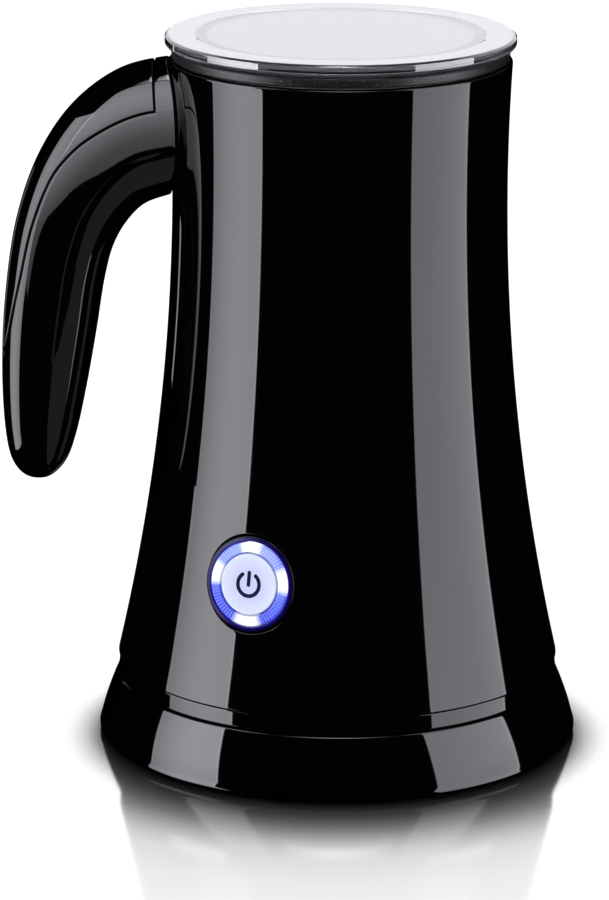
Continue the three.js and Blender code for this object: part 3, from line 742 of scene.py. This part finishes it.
def build_housing():
    """The wall, with a window round the button that two patches close up to the hole."""
    low, top = levels("jug_housing")
    heights = np.linspace(low + 0.5, top - 1, 81)
    window_half_angle, window_half_height = 24, 22
    centre = BUTTON.to_translation()
    middle = math.degrees(math.atan2(centre.y, centre.x)) % 360
    first, last = (round((middle + side * window_half_angle) / 360 * ROUND) for side in (-1, 1))
    rows = heights[abs(heights - centre.z) < window_half_height]

    def outside_window(lower, upper, column):
        ends = lower[1], upper[1]
        in_rows = min(ends) > rows[0] - 0.01 and max(ends) < rows[-1] + 0.01
        return not (in_rows and first <= column < last)

    def window(offset):
        grid = turned([[housing_radius(z) + offset, z] for z in rows], ROUND)
        return border(grid[:, first:last + 1])

    skin = lathe(housing_profile(heights, low, top), keep=outside_window)
    rings, spokes = hole_patch(window(0), 0, 12)
    direction = np.stack([np.cos(spokes), np.sin(spokes)], axis=1)
    rim = rings[-1]
    for lean in np.radians([22.5, 45, 67.5, 90]):
        inwards = HOLE_ROUNDING * math.sin(lean) * direction @ BUTTON_AXES[:, :2].T
        deeper = HOLE_ROUNDING * (1 - math.cos(lean)) * BUTTON_AXES[:, 2]
        rings.append(rim - inwards - deeper)
    wall_end = onto_housing(BUTTON_HOLE * direction, -HOUSING_WALL)
    skin.add([*rings, wall_end], around=True)
    inner, _ = hole_patch(window(-HOUSING_WALL), -HOUSING_WALL, 4)
    skin.add([wall_end, *inner[-2::-1]], around=True)
    stand_in("jug_shell", "jug_housing", skin)


def build_band():
    """The jug's bottom cover, which shows as a narrow band between the housing and the base."""
    low, top = bottom_of("jug_bottom_cover"), 19.9
    radius = radius_of("jug_bottom_cover")
    floor_top, rim_top, socket_top = 18.2, 24.5, 26
    turned_piece("jug_band", "jug_bottom_cover", [
        [15.6, low + 0.3, 0.3], [54.5, low + 0.3, 0.2], [55, low, 0.2], [radius, low, 0.4],
        [radius - 0.45, top, 0.4], [55.2, top, 0.2], [54.6, rim_top, 0.4], [53, rim_top, 0.4],
        [53, floor_top, 0.5], [17.7, floor_top, 0.5], [17.7, socket_top, 0.3],
        [15.6, socket_top, 0.3],
    ])


# ---------------------------------------------------------------- pot, whisk and lid


def build_pot():
    low, top = levels("milk_pot")
    radius = radius_of("milk_pot")
    rim_foot, neck, inner_floor = 179.7, 174, 78
    turned_piece("milk_pot_spun", "milk_pot", [
        [0, low], [34.4, low, 1.5], [37, 81, 3], [38.3, neck, 20], [38.3, rim_foot, 0.3],
        [radius, rim_foot, 0.5], [radius, top, 1.1], [38.6, top, 1.2], [37.5, top - 2.4, 1.5],
        [37.5, neck, 20], [36.2, 81.2, 3], [34.8, inner_floor, 2.5], [0, inner_floor],
    ], closed=False)
    low, top = levels("pot_gasket")
    turned_piece("pot_seal_ring", "pot_gasket", [
        [39.4, low, 0.4], [41.5, low, 0.4], [41.5, top, 0.6], [39.4, top, 0.6],
    ])
    low, top = 76.9, top_of("whisk_spindle")
    turned_piece("whisk_pin", "whisk_spindle", [
        [0, low], [3.4, low], [3.4, 78.6, 0.3], [1.6, 79.2, 0.5], [1.6, top, 1.1], [0, top],
    ], SMALL_ROUND, closed=False)


def build_whisk():
    low, top = levels("whisk_hub")
    bore, bore_top, stem, knob = 2, 93.2, 3.8, 4.8
    turned_piece("whisk_hub_turned", "whisk_hub", [
        [0, bore_top], [bore, bore_top, 0.2], [bore, low, 0.3], [10.6, low, 0.6], [12.1, 85, 2],
        [12.1, 86, 0.5], [6, 87.2, 1.5], [stem, 89, 1.5], [stem, 95, 0.5], [knob, 96, 0.5],
        [knob, 98.4, 0.8], [4, top, 0.5], [0, top],
    ], MEDIUM_ROUND, closed=False)
    low, top = levels("whisk_coil")
    coil_radius = (top - low) / 2 - WIRE_RADIUS
    circle = radius_of("whisk_coil") - coil_radius - WIRE_RADIUS
    turns = np.linspace(0, 2 * np.pi, COIL_TURNS * 20, endpoint=False)
    reach = circle + coil_radius * np.cos(COIL_TURNS * turns)
    height = (low + top) / 2 + coil_radius * np.sin(COIL_TURNS * turns)
    path = np.stack([reach * np.cos(turns), reach * np.sin(turns), height], axis=1)
    stand_in("whisk_spring", "whisk_coil", closed_wire(path, WIRE_RADIUS))


def build_lid():
    """The lid with its plug and the groove for the seal, and the seal."""
    top, radius = top_of("lid"), radius_of("lid")
    underside, plug, plug_foot = 183.1, 36.4, 176.2
    groove, groove_foot, groove_top = 35.6, 178, 180.4
    made = turned_piece("lid_clear", "lid", [
        [0, underside], [34.4, underside, 0.3], [34.4, plug_foot, 0.3], [plug, plug_foot, 0.3],
        [plug, groove_foot, 0.1], [groove, groove_foot, 0.1], [groove, groove_top, 0.1],
        [plug, groove_top, 0.1], [36.6, 182.75, 0.3], [43.4, 182.75, 0.4], [44.7, underside, 0.4],
        [radius, 183.7, 0.3], [radius, top - 0.5, 0.3], [44.7, top, 0.4], [38, top, 0.6],
        [37, top - LID_SUNK, 0.6], [0, top - LID_SUNK],
    ], LID_ROUND, closed=False)
    low, top = levels("lid_seal")
    turned_piece("lid_seal_ring", "lid_seal", [
        [35.9, low, 0.3], [37.15, low, 0.5], [37.15, top, 0.5], [35.9, top, 0.3],
    ])
    return made


# ---------------------------------------------------------------- button


def build_button():
    bezel_bore, light_bore = LIGHT_RADIUS + GAP, CAP_RADIUS + GAP
    turned_piece("button_surround", "button_bezel", [
        [bezel_bore, -BUTTON_DEPTH, 0.2], [BEZEL_RADIUS, -BUTTON_DEPTH, 0.2],
        [BEZEL_RADIUS, 0.2, 0.5], [bezel_bore, 0.75, 0.2],
    ], BUTTON_ROUND, place=BUTTON_PLACE)
    turned_piece("button_halo", "button_light_ring", [
        [light_bore, -BUTTON_DEPTH, 0.2], [LIGHT_RADIUS, -BUTTON_DEPTH, 0.2],
        [LIGHT_RADIUS, 0.85, 0.3], [light_bore, 0.9, 0.3],
    ], BUTTON_ROUND, place=BUTTON_PLACE)
    stem, stem_foot, cap_foot = 2, -7, -2
    turned_piece("button_disc", "button_cap", [
        [0, stem_foot], [stem, stem_foot, 0.3], [stem, cap_foot, 0.3], [CAP_RADIUS, cap_foot, 0.3],
        [CAP_RADIUS, CAP_FACE, 0.4], [0, CAP_FACE],
    ], MEDIUM_ROUND, closed=False, place=BUTTON_PLACE)
    build_power_mark()


def stroke(line, width, low, high):
    """A flat raised line with round ends, along a path in the plane."""
    line = np.asarray(line, float)
    ahead = np.gradient(line, axis=0)
    ahead /= np.linalg.norm(ahead, axis=1)[:, None]
    rows = []

    def add(centre, half, direction):
        side = np.array([-direction[1], direction[0]]) * half
        left, right = centre + side, centre - side
        rows.append([[*right, high], [*left, high], [*left, low], [*right, low]])

    leans = np.radians([0.5, 25, 50, 70])
    for lean in leans:
        add(line[0] - ahead[0] * width / 2 * math.cos(lean), width / 2 * math.sin(lean), ahead[0])
    for centre, direction in zip(line, ahead):
        add(centre, width / 2, direction)
    for lean in leans[::-1]:
        add(line[-1] + ahead[-1] * width / 2 * math.cos(lean), width / 2 * math.sin(lean), ahead[-1])
    grid = np.array(rows)
    skin = Skin()
    for a in range(4):
        b = (a + 1) % 4
        skin.add(grid[:, [a, b]])
    for row, order in ((grid[0], (3, 2, 1, 0)), (grid[-1], (0, 1, 2, 3))):
        quad = row[list(order)]
        skin.add([[quad[0], quad[1]], [quad[3], quad[2]]])
    return skin


def build_power_mark():
    """Generic stand-by sign printed on the cap: an open ring with a bar in its gap."""
    radius, width = 3.0, 1.02
    half_gap = np.radians(38)
    turns = np.linspace(np.pi / 2 + half_gap, 5 * np.pi / 2 - half_gap, 49)
    ring = radius * np.stack([np.cos(turns), np.sin(turns)], axis=1)
    bar = [[0, -0.15], [0, 1], [0, 2], [0, radius]]
    for name, line in (("power_mark_ring", ring), ("power_mark_bar", bar)):
        print_skin = stroke(line, width, CAP_FACE - 0.1, CAP_FACE + 0.03)
        piece(name, print_skin, "button", "bezel_black", place=BUTTON_PLACE, material="print_navy")


# ---------------------------------------------------------------- handle


def catmull_rom(points, places):
    """Centripetal Catmull-Rom curve through points, at places counted in segments."""
    points = np.asarray(points, float)
    first = 2 * points[0] - points[1]
    last = 2 * points[-1] - points[-2]
    padded = np.vstack([first, points, last])
    made = []
    for place in np.atleast_1d(places):
        i = int(min(max(place, 0), len(points) - 1 - 1e-9))
        p0, p1, p2, p3 = padded[i:i + 4]
        gaps = [max(np.linalg.norm(b - a) ** 0.5, 1e-4) for a, b in ((p0, p1), (p1, p2), (p2, p3))]
        t0, t1, t2 = gaps
        start = (p1 - p0) / t0 - (p2 - p0) / (t0 + t1) + (p2 - p1) / t1
        end = (p2 - p1) / t1 - (p3 - p1) / (t1 + t2) + (p3 - p2) / t2
        start, end = start * t1, end * t1
        t = place - i
        made.append(p1 + start * t + (3 * (p2 - p1) - 2 * start - end) * t**2
                    + (2 * (p1 - p2) + start + end) * t**3)
    return np.array(made)


def soften(value):
    return np.sign(value) * np.abs(value) ** SECTION_SOFTNESS


class Handle:
    """The handle's outer skin. place runs from the root, 0, to the tip; turn goes round it,
    0 on the outer edge, positive on the far side."""

    def __init__(self):
        edges = np.array(HANDLE_EDGES, float)
        self.end = len(edges) - 1
        self.table = np.linspace(0, self.end, 1201)
        self.outer = catmull_rom(edges[:, 0:2], self.table)
        self.inner = catmull_rom(edges[:, 2:4], self.table)
        width = catmull_rom(np.stack([np.arange(len(edges)), edges[:, 4]], 1), self.table)[:, 1]
        self.width = HANDLE_HALF_WIDTH * np.maximum(width, 0)
        self.seam = catmull_rom(COVER_SEAM, np.linspace(0, len(COVER_SEAM) - 1, 400))

    def look_up(self, values, place):
        return np.interp(place, self.table, values)

    def edge(self, line, place):
        """x and z of the outer or inner edge."""
        return np.array([self.look_up(line[:, k], place) for k in (0, 1)])

    def point(self, place, turn):
        place, turn = np.broadcast_arrays(place, turn)
        outer, inner = self.edge(self.outer, place), self.edge(self.inner, place)
        x, z = (outer + inner) / 2 + (outer - inner) / 2 * soften(np.cos(turn))
        return np.stack([x, self.look_up(self.width, place) * soften(np.sin(turn)), z], axis=-1)

    def normal(self, place, turn):
        """Unit normal, from small steps either way."""
        step = 0.02
        near = np.minimum(place + step, self.end - 1e-3), np.maximum(place - step, 0)
        along = self.point(near[0], turn) - self.point(near[1], turn)
        around = self.point(place, turn + step) - self.point(place, turn - step)
        normal = np.cross(around, along)
        return normal / np.maximum(np.linalg.norm(normal, axis=-1), 1e-9)[..., None]

    def under(self, place, turn, depth):
        """Points at these depths under the skin."""
        return self.point(place, turn) - depth * self.normal(place, turn)

    def scale(self, place, turn, along=0.0, around=0.0):
        """Millimetres for each unit of place or turn, from a small step along or around."""
        step = self.point(place + along, turn + around) - self.point(place, turn)
        return np.linalg.norm(step) / (along + around)

    def root_place(self, turn, offset):
        """Where the line at that turn leaves the housing, offset from its surface."""
        low, high = np.zeros_like(turn), np.full_like(turn, 3.0)
        for _ in range(40):
            middle = (low + high) / 2
            point = self.point(middle, turn)
            out = np.linalg.norm(point[..., :2], axis=-1) > housing_radius(point[..., 2]) + offset
            low, high = np.where(out, low, middle), np.where(out, middle, high)
        return high

    def seam_turn(self, place):
        """Turn at which the section crosses the cover's seam."""
        inner = self.edge(self.inner, place)
        line = self.edge(self.outer, place) - inner
        side = (self.seam[:, 0] - inner[0]) * line[1] - (self.seam[:, 1] - inner[1]) * line[0]
        k = np.flatnonzero(np.diff(np.sign(side)))[0]
        share = side[k] / (side[k] - side[k + 1])
        hit = self.seam[k] + (self.seam[k + 1] - self.seam[k]) * share
        across = np.clip(2 * ((hit - inner) @ line) / (line @ line) - 1, -1, 1)
        return math.acos(np.sign(across) * abs(across) ** (1 / SECTION_SOFTNESS))


def seam_columns(seam_turn, scale, cover):
    """Turns of one row, from the near side's inner edge round the outer edge to the far side's.

    scale is millimetres per radian at the seam. Returns turns and their depths under the skin.
    """
    side = -1 if cover else 1
    rolled = [(seam_turn + side * distance / scale, depth) for distance, depth in SEAM_EDGE]
    shares = np.linspace(0, 1, 15)[:-1]
    if cover:
        half = [(share * rolled[-1][0], 0.0) for share in shares] + rolled[::-1]
    else:
        wall = (rolled[0][0] - POCKET_WALL / scale, COVER_POCKET)
        rest = [(turn, 0.0) for turn in np.linspace(rolled[-1][0], math.pi, 42)[1:]]
        half = [(share * seam_turn, COVER_POCKET) for share in shares] + [wall] + rolled + rest
    near = [(-turn, depth) for turn, depth in half[:0:-1]]
    columns = near + half if cover else near + half[:-1]
    return np.array(columns).T


def handle_rows(handle, places, row_depths, cover, roots=()):
    """Grid of points for the handle's body or its cover."""
    rows = []
    window = np.clip(places, COVER_START + 0.02, COVER_END)
    for place, inside, row_depth in zip(places, window, row_depths):
        seam_turn = handle.seam_turn(inside)
        turns, depths = seam_columns(seam_turn, handle.scale(inside, seam_turn, around=0.01), cover)
        depths = np.maximum(depths, row_depth) if cover else np.minimum(depths, row_depth)
        if roots and not rows:
            for offset, depth in roots:
                start = handle.root_place(turns, offset)
                rows.append(handle.under(start, turns, depth))
            for share in (0.25, 0.5, 0.75):
                rows.append(handle.point(start + (place - start) * share, turns))
        rows.append(handle.under(place, turns, depths[:, None]))
    return np.array(rows)


def window_ends(handle, side):
    """Places and depths across the window's two ends, outside it for side 1, inside for -1."""
    ends = []
    for place, way in ((COVER_START, -side), (COVER_END, side)):
        scale = handle.scale(place, 0.5, along=0.01)
        ends.append([(place + way * distance / scale, depth) for distance, depth in SEAM_EDGE])
    return ends


def build_grip(handle):
    """The handle's body, closed at the housing by rings that follow it."""
    start, end = window_ends(handle, 1)
    pocket = [
        start[0][0] + POCKET_WALL / handle.scale(COVER_START, 0.5, along=0.01),
        *np.linspace(COVER_START, COVER_END, 90)[1:-1],
        end[0][0] - POCKET_WALL / handle.scale(COVER_END, 0.5, along=0.01),
    ]
    tip = np.linspace(end[-1][0], handle.end, 64)[1:]
    places, depths = np.array(
        start[::-1] + [(place, COVER_POCKET) for place in pocket] + end + [(place, 0.0) for place in tip]
    ).T
    grid = handle_rows(handle, places, depths, False, ROOT_EDGE)
    rim = grid[0]
    centre = rim.mean(axis=0)
    end_rings = []
    for share in (0, 0.3, 0.6, 0.85):
        _, y, z = (centre + (rim - centre) * share).T
        radius = housing_radius(z) + ROOT_EDGE[0][0]
        end_rings.append(np.stack([-np.sqrt(radius**2 - y**2), y, z], axis=1))
    body = Skin().add([*end_rings, *grid], around=True)
    return stand_in("handle_grip", "handle_body", body)


def build_cover(handle):
    """The plate in the handle's pocket."""
    start, end = window_ends(handle, -1)
    inside = np.linspace(start[-1][0], end[-1][0], 90)[1:-1]
    places, depths = np.array(start + [(place, 0.0) for place in inside] + end[::-1]).T
    outer = handle_rows(handle, places, depths, True)
    inner = handle_rows(handle, places, np.full(len(places), COVER_THICKNESS), True)
    plate = Skin().add(outer).add(inner[:, ::-1]).add([border(inner), border(outer)], around=True)
    return stand_in("handle_top_cover", "handle_cover", plate)


# ---------------------------------------------------------------- floor, light and camera

FLOOR_HALF = 9000
MIDDLE_HEIGHT = 90         # the lamps' elevations are seen from here
WORLD_LIGHT = 1.4
COOL = (0.965, 0.96, 1.04)
HANDLE_COOL = (0.965, 0.96, 1.035)
LID_COOL = (0.98, 0.97, 1.03)
WHITE = (1, 1, 1)
LID_BACKDROP = 0.91        # radiances
FLOOR_BACKDROP = 1.15
FLOOR_GLOW = 0.26

CAMERA_PLACE = (0, -1.0898, 0.3841)  # metres
CAMERA_LENS = 172.08
CAMERA_PITCH = math.radians(15.85)
CAMERA_YAW = math.radians(-0.47)
CAMERA_ROLL = math.radians(0.21)


def floor_material():
    """Pale floor with a polish that mirrors the object close to it and fades away, and a painted shadow round the
    base.
    """
    made = Surface("floor", Roughness=0.9, Specular_IOR_Level=0.0)
    made.mottle(made.noise(2), (0.9, 0.9, 0.9), (0.93, 0.93, 0.93))

    def by_distance(distance, reach, rows):
        """Grey from rows of (millimetres, value)."""
        stops = [(mm / reach, value) for mm, value in rows]
        return made.ramp(made.math("DIVIDE", distance, reach), stops, smooth=False)

    base = radius_of("base_cover")
    mirror = by_distance(made.math("SUBTRACT", made.radius(), base - 3), 240, [
        (4, 0.99), (11, 0.95), (16, 0.89), (20, 0.82), (25, 0.69), (34, 0.46), (41, 0.34), (57, 0.27),
        (120, 0.2), (240, 0),
    ])
    # painted shadow round the base, centred a little forward, that darkens the mirrored share of the floor
    shade = by_distance(made.math("SUBTRACT", made.radius(forward=6), base), 20, [
        (0, 0.2), (1, 0.3), (3, 0.5), (5, 0.66), (7, 0.8), (9, 0.88), (11, 0.94), (15, 1.0),
    ])
    facing = made.node("ShaderNodeLayerWeight", {"Blend": 0.5}).outputs["Facing"]
    amount = made.math("MULTIPLY", mirror, made.rise(facing, 0.1, 0.6))
    glossy = made.node("ShaderNodeBsdfGlossy", {"Color": shade, "Roughness": 0.1}).outputs[0]
    mixed = made.node("ShaderNodeMixShader", {0: amount, 1: made.shader.outputs[0], 2: glossy})
    made.links.new(mixed.outputs[0], made.nodes["Material Output"].inputs["Surface"])
    return made.material


def build_floor():
    level = bottom_of("foot_1")
    skin = Skin().add([[[x, y, level] for x in (-FLOOR_HALF, FLOOR_HALF)]
                       for y in (-FLOOR_HALF, FLOOR_HALF)])
    floor = bpy.data.objects.new("floor", skin.mesh("floor"))
    bpy.context.scene.collection.objects.link(floor)
    floor.data.materials.append(floor_material())
    floor.visible_glossy = False
    floor.visible_transmission = False
    return floor


def build_world():
    world = bpy.data.worlds.new("studio")
    world.use_nodes = True
    background = world.node_tree.nodes["Background"].inputs
    background["Color"].default_value = (1, 1, 1, 1)
    background["Strength"].default_value = WORLD_LIGHT
    world.cycles_visibility.glossy = False
    world.cycles_visibility.transmission = False
    bpy.context.scene.world = world


def even(level):
    """The same value from edge to edge, for across or upward."""
    return [(0, level), (1, level)]


def panel(name, centre, toward, size, across, upward, tint, edge=()):
    """Rectangular softbox, seen only in reflections. Millimetres, apart from shares and radiance.

    across holds rows of (share of the width from its right end, radiance) and upward rows of
    (share of the height from its foot, factor). edge holds rows of (share of the width, share of
    the height below which the panel is dark).
    """
    data = bpy.data.lights.new(name, "AREA")
    data.shape = "RECTANGLE"
    data.size, data.size_y = size[0] * MM, size[1] * MM
    data.use_nodes = True
    largest = max(factor for _, factor in upward)
    peak = max(radiance for _, radiance in across) * largest
    data.energy = peak * math.pi * data.size * data.size_y
    tree = Nodes(data.node_tree)
    place = tree.node("ShaderNodeNewGeometry").outputs["Parametric"]
    share = tree.node("ShaderNodeSeparateXYZ", {0: place}).outputs
    colours = [(position, [radiance * largest / peak * part for part in tint])
               for position, radiance in across]
    factors = [(position, factor / largest) for position, factor in upward]
    sideways = tree.ramp(share[0], colours, smooth=False)
    glow = tree.mix(1.0, sideways, tree.ramp(share[1], factors, smooth=False), "MULTIPLY")
    if edge:
        lit = tree.math("GREATER_THAN", share[1], tree.ramp(share[0], edge, smooth=False))
        glow = tree.mix(1.0, glow, lit, "MULTIPLY")
    tree.links.new(glow, tree.nodes["Emission"].inputs["Color"])
    made = bpy.data.objects.new(name, data)
    bpy.context.scene.collection.objects.link(made)
    made.location = Vector(centre) * MM
    made.rotation_mode = "QUATERNION"
    made.rotation_quaternion = Vector(toward).to_track_quat("-Z", "Y")
    made.visible_camera = False
    made.visible_diffuse = False
    return made


def softbox(name, azimuth, half_width, low, high, across, upward=even(1.0), lean=0, tint=COOL,
            distance=3000):
    """Upright panel at an azimuth from the camera's side, positive to the right, in degrees.

    low and high are the elevations of its foot and its top. lean tips it about its own normal.
    """
    angle = math.radians(azimuth)
    out = Vector((math.sin(angle), -math.cos(angle), 0))
    foot, top = (distance * math.tan(math.radians(elevation)) for elevation in (low, high))
    centre = out * distance + Vector((0, 0, MIDDLE_HEIGHT + (foot + top) / 2))
    size = 2 * distance * math.tan(math.radians(half_width)), top - foot
    made = panel(name, centre, -out, size, across, upward, tint)
    tip = Matrix.Rotation(math.radians(lean), 4, out).to_quaternion()
    made.rotation_quaternion = tip @ made.rotation_quaternion
    return made


def link_light(light, pieces, state):
    """Makes a light shine on these pieces only, for INCLUDE, or on all but them, for EXCLUDE."""
    group = bpy.data.collections.new(light.name + "_receivers")
    for receiver in pieces:
        group.objects.link(receiver)
    for entry in group.collection_objects:
        entry.light_linking.link_state = state
    light.light_linking.receiver_collection = group


def build_lights(handle_pieces, lid, floor):
    """Two tall softboxes for the strips on the housing, weaker panels for its edges, and the
    backdrops that only the lid or only the floor mirrors."""
    rise = [(0.25, 1.0), (0.44, 1.1), (0.54, 1.27)]
    left = softbox("left_softbox", -77.5, 20.2, -30, 34, [
        (0, 3.1), (0.04, 2.7), (0.2, 3.6), (0.35, 4.4), (0.5, 5.0), (0.65, 5.4), (0.96, 5.4), (1, 6.8),
    ], rise, lean=11.5)
    right = softbox("right_softbox", 71.4, 23.3, -30, 34, [
        (0, 3.2), (0.04, 3.0), (0.5, 3.3), (0.94, 3.5), (1, 4.4),
    ], rise, lean=5)
    left_upper = softbox("left_upper_softbox", -72, 18, 38, 64, even(2.6))
    right_upper = softbox("right_upper_softbox", 70, 20, 38, 64, even(2.2))
    edge = softbox("left_edge_strip", -134.5, 1.2, -10, 10, even(1.2), distance=370)
    high = softbox("high_softbox", 0, 45, 64, 79, [(0, 0.5), (0.5, 13), (1, 0.5)], distance=1500)
    for light in (right, edge, high):
        link_light(light, [floor], "EXCLUDE")
    link_light(left, [floor, *handle_pieces], "EXCLUDE")
    for light in (left_upper, right_upper):
        link_light(light, [floor, lid, *handle_pieces], "EXCLUDE")
    for i, azimuth in enumerate((0, 90, 180, 270), 1):
        screen = softbox(f"lid_backdrop_{i}", azimuth, 45, 4, 50, even(LID_BACKDROP), tint=LID_COOL)
        link_light(screen, [lid], "INCLUDE")
        wall = softbox(f"floor_backdrop_{i}", azimuth, 45, 0.5, 60, even(FLOOR_BACKDROP),
                       tint=WHITE, distance=3600)
        link_light(wall, [floor], "INCLUDE")


def build_handle_light(handle_pieces):
    """What only the handle mirrors: a tall sheet in front with a slanting foot, a softbox on the
    left, and pale floor."""
    left, right, foot, top = -403, 60, 46, 620
    width, height = right - left, top - foot
    corners = [[60, 50], [-42, 46], [-60, 80], [-80, 95], [-115, 102], [-212, 98], [-403, 64]]
    edge = [((right - x) / width, (z - foot) / height) for x, z in corners]
    levels = [(60, 1.0), (105, 1.3), (150, 2.7), (240, 4.6), (330, 5.4), (620, 4.2)]
    upward = [((z - foot) / height, factor) for z, factor in levels]
    centre = ((left + right) / 2, -250, (foot + top) / 2)
    lights = [
        panel("handle_sheet", centre, (0, 1, 0), (width, height), even(1.0), upward, HANDLE_COOL, edge),
        softbox("handle_side_softbox", -72, 19.3, -30, 34,
                [(0, 3.7), (0.5, 5.2), (0.97, 4.2), (1, 5.5)]),
    ]
    level = bottom_of("foot_1") - 1.7
    for name, low, high in (("handle_floor_glow", (-55, -300), (200, 100)),
                            ("handle_floor_glow_tip", (-68, -420), (-54, -300))):
        centre = ((low[0] + high[0]) / 2, (low[1] + high[1]) / 2, level)
        size = high[0] - low[0], high[1] - low[1]
        lights.append(panel(name, centre, (0, 0, 1), size, even(FLOOR_GLOW), even(1.0), HANDLE_COOL))
    for light in lights:
        link_light(light, handle_pieces, "INCLUDE")


def build_camera():
    camera = bpy.data.objects.new("camera", bpy.data.cameras.new("camera"))
    bpy.context.scene.collection.objects.link(camera)
    camera.data.lens = CAMERA_LENS
    upright = math.pi / 2
    turn = Matrix.Rotation(-CAMERA_YAW, 4, "Z") @ Matrix.Rotation(upright - CAMERA_PITCH, 4, "X")
    camera.matrix_world = (Matrix.Translation(CAMERA_PLACE) @ turn
                           @ Matrix.Rotation(CAMERA_ROLL, 4, "Z"))
    bpy.context.scene.camera = camera


# ---------------------------------------------------------------- assembly

paint_frame()
build_base()
build_connector()
build_housing()
build_band()
build_pot()
build_whisk()
lid = build_lid()
build_button()
handle = Handle()
handle_pieces = [build_grip(handle), build_cover(handle)]
floor = build_floor()
build_world()
build_lights(handle_pieces, lid, floor)
build_handle_light(handle_pieces)
build_camera()
bpy.context.scene.view_settings.view_transform = "Standard"
